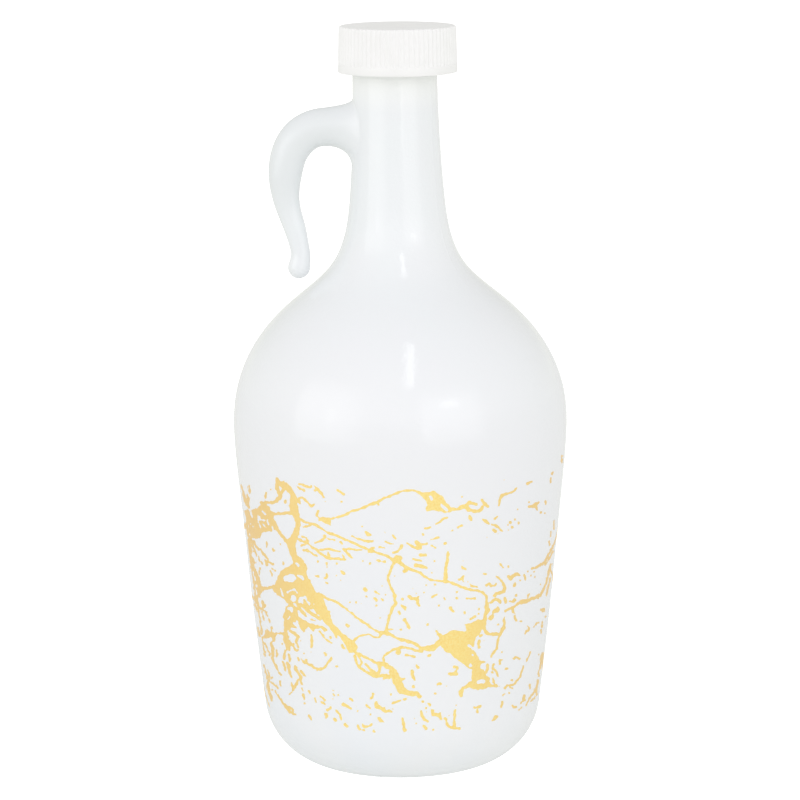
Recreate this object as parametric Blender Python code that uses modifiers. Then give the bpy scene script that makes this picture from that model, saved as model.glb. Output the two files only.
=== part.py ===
"""A white glass jug bottle with a hooked side handle and a ribbed screw cap.

Metres, +Z up. The origin is the centre of the base, on the surface that the bottle stands on.
The front is -Y, and the handle hangs off the neck towards -X. The bottle is opaque and shut,
so its glass is one solid from the base to the mouth, and the cap is a cup over the mouth.
"""
import math

import bmesh
import bpy
import numpy as np

MM = 0.001

BOTTLE_NODE = "bottle"
CAP_NODE = "cap"
TOTAL_HEIGHT = 280.0 * MM
BODY_STEPS = 64

# Base: a heel arc from the standing ring up to the wall, and a shallow push-up inside the ring
RING_INNER_RADIUS = 21.0 * MM
PUSH_UP_HEIGHT = 4.0 * MM
PUSH_UP_POINTS = 4
HEEL_POINTS = 8

# Wall, shoulder and neck: (height, radius) in millimetres, joined by a natural cubic
WALL = (
    (22.9, 52.3),  # top of the heel
    (60.0, 56.6),
    (100.0, 60.5),
    (122.0, 62.55),
    (138.0, 62.55),  # widest between these two
    (152.0, 59.1),
    (164.0, 52.5),
    (176.0, 41.4),
    (188.0, 27.5),  # foot of the neck
    (200.0, 20.6),
    (216.0, 17.8),
    (262.0, 15.8),  # where the cap starts
)
# Heights of the wall's rings in millimetres: wide apart on the straight wall, close on the shoulder
WALL_RINGS = [*range(34, 123, 11), *range(128, 208, 5), 211, 217, 226, 240, 254]

# The neck leans this far towards the handle just under the cap, and the mouth is true again
NECK_LEAN = 1.1 * MM
LEAN_START = 165.0 * MM
LEAN_POWER = 1.2

# Finish: the glass rim that the cap screws on, hidden by the cap
FINISH_RADIUS = 19.3 * MM
FINISH_SHOULDER = 2.2 * MM
RIM_ROUND = 0.8 * MM
EDGE_POINTS = 4

# Cap
CAP_HEIGHT = 17.2 * MM
CAP_MOUTH_RADIUS = 22.3 * MM
CAP_TOP_RADIUS = 21.9 * MM
CAP_EDGE_ROUND = 0.9 * MM
CAP_BAND_HEIGHT = 3.3 * MM
CAP_WALL = 2.2 * MM
CAP_LID = 2.0 * MM
CAP_RIBS = 72
RIB_DEPTH = 0.35 * MM
GAP = 0.3 * MM

# Hook of the handle: (distance left of the axis, height, radius) in millimetres, neck to tail
HOOK = (
    (14.0, 242.2, 7.4),  # inside the neck
    (24.0, 242.5, 7.4),
    (31.7, 241.7, 7.1),  # top of the hook
    (36.8, 238.5, 7.1),
    (40.4, 233.2, 6.8),
    (42.2, 225.7, 6.35),  # furthest from the neck
    (42.2, 217.0, 5.2),
    (40.8, 210.4, 4.45),
    (39.0, 204.7, 4.1),
    (37.6, 199.1, 3.7),
    (36.9, 194.0, 3.7),  # waist above the tail's bulb
    (37.6, 189.4, 4.15),
    (38.2, 185.6, 4.0),  # end of the tail
)
HOOK_WIDTH_RATIO = 0.9  # width across the neck over depth
HOOK_COLUMNS = 16
HOOK_ROWS = 24
TAIL_ROUND = 4.2 * MM  # length of the tail's rounded end
TAIL_ROWS = 3

# Root of the handle: a fillet from the hook's end, nearer the neck above than below, to the neck
ROOT_START_ABOVE = 20.0 * MM
ROOT_START_BELOW = 27.0 * MM
ROOT_HEIGHT = 240.5 * MM
ROOT_HALF_HEIGHT = 12.7 * MM
ROOT_HALF_WIDTH = 9.6 * MM
ROOT_SINK = 0.35 * MM
ROOT_ROWS = 6
QUARTER_ELLIPSE = 1.657  # a cubic's end slope over the half axis, for a quarter of an ellipse

# Colours, and the angles above which an edge is shaded sharp
GLASS_WHITE = (0.90, 0.92, 0.92)
GLASS_ROUGHNESS = 0.12
GLASS_SHARP = math.radians(40)
CAP_WHITE = (0.91, 0.91, 0.89)
CAP_ROUGHNESS = 0.45
CAP_SHARP = math.radians(30)


def columns_of(table):
    """The columns of a table in millimetres, as arrays in metres."""
    return [np.array(column) * MM for column in zip(*table)]


def natural_cubic(knots, values, at):
    """Values and slopes, at each place in at, of the natural cubic spline through (knots, values)."""
    knots, values, at = (np.asarray(a, float) for a in (knots, values, at))
    count = len(knots)
    step = np.diff(knots)
    system = np.eye(count)
    right = np.zeros(count)
    for i in range(1, count - 1):
        system[i, i - 1 : i + 2] = step[i - 1], 2 * (step[i - 1] + step[i]), step[i]
        rise = np.diff(values[i - 1 : i + 2]) / step[i - 1 : i + 1]
        right[i] = 6 * (rise[1] - rise[0])
    bend = np.linalg.solve(system, right)
    i = np.clip(np.searchsorted(knots, at, side="right") - 1, 0, count - 2)
    s, before, after = step[i], knots[i + 1] - at, at - knots[i]
    low = values[i] / s - bend[i] * s / 6
    high = values[i + 1] / s - bend[i + 1] * s / 6
    value = (bend[i] * before**3 + bend[i + 1] * after**3) / (6 * s) + low * before + high * after
    slope = (bend[i + 1] * after**2 - bend[i] * before**2) / (2 * s) - low + high
    return value, slope


def arc(centre, radius, start, end, count):
    """Points (r, z) along an arc, from the angle start to end in radians, 0 pointing outwards."""
    angles = np.linspace(start, end, count)
    return [(centre[0] + radius * math.cos(a), centre[1] + radius * math.sin(a)) for a in angles]


def wall_radius(z):
    """The glass's radius at each height z between the heel and the cap."""
    heights, radii = columns_of(WALL)
    return natural_cubic(heights, radii, z)[0]


def bottle_profile():
    """The glass's outline (r, z), from the middle of the mouth down the outside to the push-up."""
    heights, radii = columns_of(WALL)
    rim = TOTAL_HEIGHT - CAP_LID - GAP
    finish = [(0, rim)]
    finish += arc((FINISH_RADIUS - RIM_ROUND, rim - RIM_ROUND), RIM_ROUND, math.pi / 2, 0, EDGE_POINTS)
    finish += [(FINISH_RADIUS, heights[-1] + FINISH_SHOULDER), (radii[-1], heights[-1])]
    levels = np.array(WALL_RINGS[::-1]) * MM
    wall = list(zip(wall_radius(levels), levels))
    # The heel arc touches the floor and is tangent to the wall's lowest stretch
    taper = math.atan(natural_cubic(heights, radii, heights[:1])[1][0])
    heel_radius = heights[0] / (1 - math.sin(taper))
    heel_centre = (radii[0] - heel_radius * math.cos(taper), heel_radius)
    heel = arc(heel_centre, heel_radius, -taper, -math.pi / 2, HEEL_POINTS)
    # The push-up is a cosine dome inside the standing ring
    inwards = np.linspace(1, 0, PUSH_UP_POINTS + 1)
    dome = [(RING_INNER_RADIUS * t, PUSH_UP_HEIGHT * (1 + math.cos(math.pi * t)) / 2) for t in inwards]
    return finish + wall + heel + dome


def cap_profile():
    """The cap's outline (r, z), from the middle of its top, down its skirt and up inside it."""
    bottom = TOTAL_HEIGHT - CAP_HEIGHT
    band_top = bottom + CAP_BAND_HEIGHT
    edge = (CAP_TOP_RADIUS - CAP_EDGE_ROUND, TOTAL_HEIGHT - CAP_EDGE_ROUND)
    inside = CAP_MOUTH_RADIUS - CAP_WALL
    outer = [(0, TOTAL_HEIGHT)] + arc(edge, CAP_EDGE_ROUND, math.pi / 2, 0, EDGE_POINTS)
    outer += [(CAP_MOUTH_RADIUS - RIB_DEPTH / 2, band_top), (CAP_MOUTH_RADIUS, band_top - RIB_DEPTH)]
    outer += [(CAP_MOUTH_RADIUS, bottom)]
    return outer + [(inside, bottom), (inside, TOTAL_HEIGHT - CAP_LID), (0, TOTAL_HEIGHT - CAP_LID)]


def material(name, colour, roughness):
    """A Principled material of one colour."""
    made = bpy.data.materials.new(name)
    made.use_nodes = True
    shader = made.node_tree.nodes["Principled BSDF"]
    shader.inputs["Base Color"].default_value = (*colour, 1)
    shader.inputs["Roughness"].default_value = roughness
    shader.inputs["Metallic"].default_value = 0
    return made


def finish_surface(part, surface, sharp_angle):
    """Gives a part its one material, and smooth shading with its true edges kept sharp."""
    part.data.materials.clear()
    part.data.materials.append(surface)
    part.data.shade_smooth()
    part.data.set_sharp_from_angle(angle=sharp_angle)


def evaluated_mesh(source):
    """A new mesh of an object with its modifiers applied, in the object's own space."""
    bpy.context.view_layer.update()
    depsgraph = bpy.context.evaluated_depsgraph_get()
    return bpy.data.meshes.new_from_object(source.evaluated_get(depsgraph))


def turned(name, profile, steps, collection):
    """A closed solid turned round Z from an outline (r, z) that starts and ends on the axis."""
    mesh = bpy.data.meshes.new(name + "_outline")
    points = [(r, 0, z) for r, z in profile]
    mesh.from_pydata(points, [(i, i + 1) for i in range(len(points) - 1)], [])
    outline = bpy.data.objects.new(name + "_outline", mesh)
    collection.objects.link(outline)
    screw = outline.modifiers.new("turn", "SCREW")
    screw.axis = "Z"
    screw.steps = screw.render_steps = steps
    screw.use_merge_vertices = True
    screw.merge_threshold = 0.00001
    solid = bpy.data.objects.new(name, evaluated_mesh(outline))
    collection.objects.link(solid)
    bpy.data.objects.remove(outline)
    return solid


def lean(z):
    """How far the neck's axis has moved at height z: nothing at the shoulder and at the mouth."""
    cap_start = WALL[-1][0] * MM
    rise = np.clip((z - LEAN_START) / (cap_start - LEAN_START), 0, 1)
    back = np.clip((z - cap_start) / FINISH_SHOULDER, 0, 1)
    return -NECK_LEAN * rise**LEAN_POWER * (1 - back)


def hook_knots():
    """The length along the hook's centre line at each of its points, from chord to chord."""
    left, height, _ = columns_of(HOOK)
    return np.concatenate([[0], np.cumsum(np.hypot(np.diff(left), np.diff(height)))])


def hook_ring(along, turns, shrink=1.0):
    """Points on the hook at the lengths along it and the turns round it, and its direction there.

    Each point lies on an ellipse that is square to the centre line. A turn of 0 is its outer side.
    """
    knots = hook_knots()
    left, height, radius = columns_of(HOOK)
    x, dx = natural_cubic(knots, -left, along)
    z, dz = natural_cubic(knots, height, along)
    speed = np.hypot(dx, dz)
    dx, dz = dx / speed, dz / speed
    r = natural_cubic(knots, radius, along)[0] * shrink
    out, side = r * np.cos(turns), r * np.sin(turns)
    points = np.stack([x + dz * out, HOOK_WIDTH_RATIO * side, z - dx * out], axis=-1)
    return points, np.stack([dx, 0 * dx, dz], axis=-1)


def root_rows(start, turns):
    """Rings of the fillet between the neck and the hook, whose first ring is at the lengths start.

    Each column leaves the hook along its centre line and lands flat on the neck, just under its
    surface, on a tall oval. Between its ends a column is a cubic close to a quarter of an ellipse.
    """
    hook_end, away = hook_ring(start, turns)
    foot_z = ROOT_HEIGHT + ROOT_HALF_HEIGHT * np.cos(turns)
    neck = wall_radius(foot_z) - ROOT_SINK
    bearing = ROOT_HALF_WIDTH * np.sin(turns) / neck
    foot = np.stack([lean(foot_z) - neck * np.cos(bearing), neck * np.sin(bearing), foot_z], axis=-1)
    spread = [np.sin(turns) * np.sin(bearing), np.sin(turns) * np.cos(bearing), np.cos(turns)]
    spread = np.stack(spread, axis=-1)
    span = foot - hook_end
    inwards = np.maximum(np.sum(-away * span, axis=-1, keepdims=True), 0)
    outwards = np.maximum(np.sum(spread * span, axis=-1, keepdims=True), 0)
    leave = -away * inwards * QUARTER_ELLIPSE
    land = spread * outwards * QUARTER_ELLIPSE
    rows = []
    for t in np.linspace(1, 0, ROOT_ROWS, endpoint=False):
        ends = (2 * t**3 - 3 * t**2 + 1) * hook_end + (3 * t**2 - 2 * t**3) * foot
        rows.append(ends + (t**3 - 2 * t**2 + t) * leave + (t**3 - t**2) * land)
    return rows


def handle_rows():
    """Rings of the whole handle, from its foot on the neck to the tail, and the tail's last point."""
    turns = np.linspace(0, 2 * np.pi, HOOK_COLUMNS, endpoint=False)
    middle = (ROOT_START_ABOVE + ROOT_START_BELOW) / 2
    swing = (ROOT_START_ABOVE - ROOT_START_BELOW) / 2
    start = middle + swing * np.cos(turns) - HOOK[0][0] * MM
    end = hook_knots()[-1]
    rows = root_rows(start, turns)
    for t in np.linspace(0, 1, HOOK_ROWS):
        rows.append(hook_ring(start + (end - TAIL_ROUND - start) * t, turns)[0])
    for a in np.linspace(0, np.pi / 2, TAIL_ROWS + 2)[1:-1]:
        along = np.full(HOOK_COLUMNS, end - TAIL_ROUND * (1 - math.sin(a)))
        rows.append(hook_ring(along, turns, math.cos(a))[0])
    tip = hook_ring(np.array([end]), np.zeros(1), 0)[0][0]
    return rows, tip


def make_handle(collection):
    """The handle as a closed mesh: its rings joined by quads, with a fan of triangles at each end."""
    rows, tip = handle_rows()
    shape = bmesh.new()
    rings = [[shape.verts.new(point) for point in row] for row in rows]
    inside_neck = shape.verts.new(np.mean(rows[0], axis=0) + np.array([ROOT_HALF_WIDTH, 0, 0]))
    tail_end = shape.verts.new(tip)
    for i in range(HOOK_COLUMNS):
        j = (i + 1) % HOOK_COLUMNS
        for ring, following in zip(rings, rings[1:]):
            shape.faces.new((ring[i], ring[j], following[j], following[i]))
        shape.faces.new((rings[-1][i], rings[-1][j], tail_end))
        shape.faces.new((rings[0][j], rings[0][i], inside_neck))
    bmesh.ops.recalc_face_normals(shape, faces=shape.faces)
    mesh = bpy.data.meshes.new("handle")
    shape.to_mesh(mesh)
    shape.free()
    handle = bpy.data.objects.new("handle", mesh)
    collection.objects.link(handle)
    return handle


def make_bottle(collection, cutters):
    """Body, neck and finish turned in one, leaned over, and fused with the handle."""
    body = turned("body", bottle_profile(), BODY_STEPS, cutters)
    for vertex in body.data.vertices:
        vertex.co.x += lean(vertex.co.z)
    handle = make_handle(cutters)
    join = body.modifiers.new("fuse_handle", "BOOLEAN")
    join.operation = "UNION"
    join.solver = "EXACT"
    join.object = handle
    bottle = bpy.data.objects.new(BOTTLE_NODE, evaluated_mesh(body))
    collection.objects.link(bottle)
    bpy.data.objects.remove(body)
    bpy.data.objects.remove(handle)
    finish_surface(bottle, material("white_glass", GLASS_WHITE, GLASS_ROUGHNESS), GLASS_SHARP)


def make_cap(collection):
    """A turned cup whose skirt is pushed in and out by the ribs, one rib to every other step."""
    steps = CAP_RIBS * 2
    cap = turned(CAP_NODE, cap_profile(), steps, collection)
    skirt_low = TOTAL_HEIGHT - CAP_HEIGHT + CAP_BAND_HEIGHT - RIB_DEPTH / 2
    skirt_high = TOTAL_HEIGHT - CAP_EDGE_ROUND + RIB_DEPTH / 2
    for vertex in cap.data.vertices:
        across = math.hypot(vertex.co.x, vertex.co.y)
        if skirt_low < vertex.co.z < skirt_high and across > CAP_TOP_RADIUS - CAP_WALL / 2:
            step = round(math.atan2(vertex.co.y, vertex.co.x) / (2 * math.pi) * steps)
            shift = RIB_DEPTH / 2 if step % 2 == 0 else -RIB_DEPTH / 2
            vertex.co.x *= 1 + shift / across
            vertex.co.y *= 1 + shift / across
    cap.data.update()
    finish_surface(cap, material("cap_plastic", CAP_WHITE, CAP_ROUGHNESS), CAP_SHARP)


def main():
    """Clears the scene and makes the bottle and its cap."""
    for old in list(bpy.data.objects):
        bpy.data.objects.remove(old)
    jug = bpy.data.collections.new("jug_bottle")
    cutters = bpy.data.collections.new("cutters")
    bpy.context.scene.collection.children.link(jug)
    bpy.context.scene.collection.children.link(cutters)
    make_bottle(jug, cutters)
    make_cap(jug)


main()
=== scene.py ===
"""Looks of the white glass jug bottle: fine glass, ribbed cap, gold vein print, studio and camera.

Metres, +Z up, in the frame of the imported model: the origin is the centre of the base, the front is
-Y and the handle hangs off the neck towards -X. A bearing is measured round the axis from the
front, positive towards +X, so the handle is at a bearing of minus a quarter turn.
"""
import math

import bpy
import numpy as np
from mathutils import Matrix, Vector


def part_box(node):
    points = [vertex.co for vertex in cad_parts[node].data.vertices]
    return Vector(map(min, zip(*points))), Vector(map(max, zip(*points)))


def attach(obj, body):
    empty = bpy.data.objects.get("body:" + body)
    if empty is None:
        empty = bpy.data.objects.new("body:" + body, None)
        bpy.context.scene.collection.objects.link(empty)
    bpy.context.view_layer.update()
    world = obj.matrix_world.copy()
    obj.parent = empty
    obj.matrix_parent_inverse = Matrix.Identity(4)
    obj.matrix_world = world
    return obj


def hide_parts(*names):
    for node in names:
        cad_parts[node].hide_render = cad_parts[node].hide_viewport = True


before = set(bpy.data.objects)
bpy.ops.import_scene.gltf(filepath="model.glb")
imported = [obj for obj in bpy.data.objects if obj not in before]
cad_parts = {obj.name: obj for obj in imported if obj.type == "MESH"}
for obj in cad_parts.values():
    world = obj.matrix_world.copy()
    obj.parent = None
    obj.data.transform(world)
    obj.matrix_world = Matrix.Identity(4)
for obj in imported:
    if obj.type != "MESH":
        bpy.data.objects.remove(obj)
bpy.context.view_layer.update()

MM = 0.001
BODY = "root"
WALL_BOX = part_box("bottle")
CAP_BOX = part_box("cap")
TOTAL_HEIGHT = CAP_BOX[1][2]
CAP_BOTTOM = CAP_BOX[0][2]
GLASS_TOP = WALL_BOX[1][2]

# Glass: (height, radius) in millimetres from the top of the heel to the cap, joined by a natural cubic
WALL = (
    (22.9, 52.3),
    (60.0, 56.6),
    (100.0, 60.5),
    (122.0, 62.55),
    (138.0, 62.55),
    (152.0, 59.1),
    (164.0, 52.5),
    (176.0, 41.4),
    (188.0, 27.5),
    (200.0, 20.6),
    (216.0, 17.8),
    (262.0, 15.8),
)
RING_INNER_RADIUS = 21.0 * MM
PUSH_UP_HEIGHT = 4.0 * MM
FINISH_RADIUS = 19.3 * MM
FINISH_SHOULDER = 2.2 * MM
RIM_ROUND = 0.8 * MM
RIM_RINGS = 6
NECK_LEAN = 1.1 * MM
LEAN_START = 165.0 * MM
LEAN_POWER = 1.2

# Rings and columns of the glass
HEEL_RINGS = 28
PUSH_UP_RINGS = 14
WALL_STEP = 2.0 * MM
SHOULDER_START = 118.0 * MM
SHOULDER_STEP = 1.0 * MM
NECK_START = 206.0 * MM
NECK_STEP = 0.8 * MM
GLASS_COLUMNS = 180

# Unevenness of the moulded glass, and the ridge where the two halves of the mould met
WAVE_DEPTH = 0.05 * MM
WAVES = (  # periods round the bottle, radians a metre upwards, phase, strength
    (3, 410 / 3, 0.0, 1.0),
    (2, -90.0, 1.3, 1.0),
    (5, 150.0, 0.4, 0.6),
    (7, -210.0, 0.0, 0.4),
)
WAVES_START = (30.0 * MM, 60.0 * MM)
WAVES_STOP = (245.0 * MM, 260.0 * MM)
SEAM_BEARING = math.radians(57.0)
SEAMS = ((SEAM_BEARING, 262.0 * MM), (SEAM_BEARING - math.pi, 222.0 * MM))  # bearing and top
SEAM_HEIGHT = 0.12 * MM
SEAM_HALF_WIDTH = 0.26 * MM
SEAM_START = (172.0 * MM, 200.0 * MM)
SEAM_END_FADE = 8.0 * MM
SEAM_COLUMNS = (-3.0, -2.0, -1.4, -0.9, -0.45, 0.0, 0.45, 0.9, 1.4, 2.0, 3.0)  # degrees from a seam
LEAST_COLUMN_GAP = math.radians(0.5)
NECK_RADIUS = 17.0 * MM

# Hook of the handle: (distance left of the axis, height, radius) in millimetres, neck to tail
HOOK = (
    (14.0, 242.2, 7.4),
    (24.0, 242.5, 7.4),
    (31.7, 241.7, 7.1),
    (36.8, 238.5, 7.1),
    (40.4, 233.2, 6.8),
    (42.2, 225.7, 6.35),
    (42.2, 217.0, 5.2),
    (40.8, 210.4, 4.45),
    (39.0, 204.7, 4.1),
    (37.6, 199.1, 3.7),
    (36.9, 194.0, 3.7),
    (37.6, 189.4, 4.15),
    (38.2, 185.6, 4.0),
)
HOOK_WIDTH_RATIO = 0.9
HOOK_ROWS = 120
TAIL_ROUND = 4.2 * MM
TAIL_ROWS = 12
ROOT_START_ABOVE = 28.5 * MM
ROOT_START_BELOW = 27.5 * MM
ROOT_HEIGHT = 240.5 * MM
ROOT_HALF_HEIGHT = 12.6 * MM
ROOT_HALF_WIDTH = 10.8 * MM
ROOT_ROWS = 30
HOOK_MASK = "on_hook"
MASK_ROWS_ON_NECK = 4
MASK_ROWS_ON_HOOK = 2
TAIL_FADE = 0.85
TAIL_FADE_ROWS = 80
PATCH_ROWS = 4
PATCH_HALF_HEIGHT = 14.5 * MM
PATCH_HALF_ANGLE = math.radians(54.0)
QUARTER_ELLIPSE = 1.657
ROOT_HUG = 0.5  # of the fillet's top into its corner, past a quarter of an ellipse

# Cap
CAP_MOUTH_RADIUS = 22.3 * MM
CAP_TOP_RADIUS = 21.9 * MM
CAP_EDGE_ROUND = 0.8 * MM
CAP_EDGE_RINGS = 8
CAP_LID_RINGS = (2.0, 20.0, 7)  # from and to in millimetres, and how many
CAP_SKIRT_RINGS = 26
CAP_FOOT_ROUND = 0.4 * MM
CAP_FOOT_RINGS = 5
CAP_BAND_HEIGHT = 3.2 * MM
BAND_STEP = ((0.05 * MM, 0.15 * MM), (0.0, 0.4 * MM))  # in from the band and down from its top
CAP_WALL = 2.2 * MM
CAP_LID = 2.0 * MM
CAP_RIBS = 72
CAP_COLUMNS = CAP_RIBS * 10
RIB_DEPTH = 0.5 * MM
RIB_FADE = 0.5 * MM
RIB_START = (-0.1 * MM, 0.3 * MM)  # from the top of the band
VALLEY_POWER = 1.3

# Print: a thin foil on the glass, between these heights
FOIL_BOTTOM = 17.0 * MM
FOIL_TOP = 131.0 * MM
FOIL_CELL = 0.35 * MM
FOIL_LIFT = 0.035 * MM
FOIL_SINK = -0.05 * MM
MEAN_RADIUS = 58.0 * MM

# Camera, fitted to the outline of the bottle in the photograph
PHOTO_SIZE = 800
CAMERA_PLACE = np.array([-0.05, -1403.5, 389.2]) * MM
CAMERA_PITCH = math.radians(10.113)
CAMERA_ROLL = 0.0075
FOCAL_PIXELS = 3776.4
SENSOR_WIDTH = 36.0
CLIP_END = 200.0


def columns_of(table):
    """The columns of a table in millimetres, as arrays in metres."""
    return [np.array(column) * MM for column in zip(*table)]


def natural_cubic(knots, values, at):
    """Values and slopes at each place of the natural cubic spline through (knots, values).

    Between two knots it is the cubic whose second derivative runs straight from one bend to the
    next. The bends solve the tridiagonal system that makes the slopes meet, and are 0 at the ends.
    """
    count = len(knots)
    step = np.diff(knots)
    system = np.eye(count)
    right = np.zeros(count)
    for i in range(1, count - 1):
        system[i, i - 1 : i + 2] = step[i - 1], 2 * (step[i - 1] + step[i]), step[i]
        rise = np.diff(values[i - 1 : i + 2]) / step[i - 1 : i + 1]
        right[i] = 6 * (rise[1] - rise[0])
    bend = np.linalg.solve(system, right)
    i = np.clip(np.searchsorted(knots, at, side="right") - 1, 0, count - 2)
    s, before, after = step[i], knots[i + 1] - at, at - knots[i]
    low = values[i] / s - bend[i] * s / 6
    high = values[i + 1] / s - bend[i + 1] * s / 6
    value = (bend[i] * before**3 + bend[i + 1] * after**3) / (6 * s) + low * before + high * after
    slope = (bend[i + 1] * after**2 - bend[i] * before**2) / (2 * s) - low + high
    return value, slope


def smooth_step(low, high, x):
    """0 below low, 1 above high, and 3t^2 - 2t^3 between them."""
    t = np.clip((x - low) / (high - low), 0, 1)
    return t * t * (3 - 2 * t)


def arc(centre, radius, start, end, count):
    """Points (r, z) on a circle: centre + radius (cos a, sin a), with a from start to end."""
    a = np.linspace(start, end, count)
    return np.stack([centre[0] + radius * np.cos(a), centre[1] + radius * np.sin(a)], axis=1)


def put_mesh(name, points, *face_arrays):
    """An object at the origin whose mesh has these points and faces, shaded smooth."""
    mesh = bpy.data.meshes.new(name)
    faces = [face for array in face_arrays for face in array.tolist()]
    mesh.from_pydata(points.tolist(), [], faces)
    mesh.shade_smooth()
    made = bpy.data.objects.new(name, mesh)
    bpy.context.scene.collection.objects.link(made)
    return made


def ring_quads(rings):
    """Quads between neighbouring closed rings, given as a (rings x columns) array of point numbers."""
    following = np.roll(rings, -1, axis=1)
    quads = np.stack([rings[:-1], rings[1:], following[1:], following[:-1]], axis=-1)
    return quads.reshape(-1, 4)


def fan(ring, pole):
    """Triangles from a closed ring of point numbers to a pole."""
    return np.stack([ring, np.roll(ring, -1), np.full(len(ring), pole)], axis=-1)


# Shape of the glass

def lean(z):
    """Shift of the neck's axis at height z: a power of the rise to the cap, and none at the mouth."""
    cap_start = WALL[-1][0] * MM
    rise = np.clip((z - LEAN_START) / (cap_start - LEAN_START), 0, 1)
    back = np.clip((z - cap_start) / FINISH_SHOULDER, 0, 1)
    return -NECK_LEAN * rise**LEAN_POWER * (1 - back)


def wall_radius(z):
    """The glass's radius at height z between the heel and the cap, without its unevenness."""
    heights, radii = columns_of(WALL)
    return natural_cubic(heights, radii, z)[0]


def unevenness(bearing, z):
    """How far the moulded skin lies inside its true circle: a sum of slow waves, from 0 to twice
    WAVE_DEPTH, fading out at the heel and the cap; less a narrow bell-shaped ridge at each seam."""
    waves = sum(part * np.sin(turns * bearing + rise * z + phase) for turns, rise, phase, part in WAVES)
    strength = sum(part for *_, part in WAVES)
    fade = smooth_step(*WAVES_START, z) * (1 - smooth_step(*WAVES_STOP, z))
    inset = WAVE_DEPTH * (1 + waves / strength) * fade
    for place, top in SEAMS:
        across = ((bearing - place + np.pi) % (2 * np.pi) - np.pi) * NECK_RADIUS
        ridge = np.exp(-((across / SEAM_HALF_WIDTH) ** 2)) * smooth_step(*SEAM_START, z)
        inset = inset - SEAM_HEIGHT * ridge * (1 - smooth_step(top - SEAM_END_FADE, top, z))
    return inset


def skin(bearing, z, lift=0.0):
    """Points on the glass at each bearing and height: the axis plus the radius along the bearing."""
    r = wall_radius(z) - unevenness(bearing, z) + lift
    return np.stack([lean(z) + r * np.sin(bearing), -r * np.cos(bearing), z + 0 * r], axis=-1)


def heel_arc():
    """Centre, radius and top angle of the heel: the arc that touches the floor and the wall."""
    heights, radii = columns_of(WALL)
    taper = math.atan(natural_cubic(heights, radii, heights[:1])[1][0])
    radius = heights[0] / (1 - math.sin(taper))
    return (radii[0] - radius * math.cos(taper), radius), radius, taper


def glass_heights():
    """Heights of the wall's rings from the cap down to the heel, closer where it curves."""
    neck = np.arange(WALL[-1][0] * MM, NECK_START, -NECK_STEP)
    shoulder = np.arange(NECK_START, SHOULDER_START, -SHOULDER_STEP)
    wall = np.arange(SHOULDER_START, WALL[0][0] * MM, -WALL_STEP)
    return np.concatenate([neck, shoulder, wall])


def glass_columns():
    """Bearings of the glass's columns: evenly spread, with more beside the two seams."""
    even = np.linspace(-np.pi, np.pi, GLASS_COLUMNS, endpoint=False)
    near = np.concatenate([seam + np.radians(SEAM_COLUMNS) for seam, _ in SEAMS])
    apart = np.abs(even[:, None] - near[None, :]).min(axis=1) > LEAST_COLUMN_GAP
    return np.sort(np.concatenate([even[apart], near]))


def hook_knots():
    """Lengths along the hook's centre line at its points, from chord to chord."""
    left, height, _ = columns_of(HOOK)
    return np.concatenate([[0], np.cumsum(np.hypot(np.diff(left), np.diff(height)))])


def hook_ring(along, turns, shrink=1.0):
    """Points on the hook, and its direction: centre + r (cos t across the line, ratio sin t along Y)."""
    knots = hook_knots()
    left, height, radius = columns_of(HOOK)
    x, dx = natural_cubic(knots, -left, along)
    z, dz = natural_cubic(knots, height, along)
    speed = np.hypot(dx, dz)
    dx, dz = dx / speed, dz / speed
    r = natural_cubic(knots, radius, along)[0] * shrink
    out, side = r * np.cos(turns), r * np.sin(turns)
    points = np.stack([x + dz * out, HOOK_WIDTH_RATIO * side, z - dx * out], axis=-1)
    return points, np.stack([dx, 0 * dx, dz], axis=-1)


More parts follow.
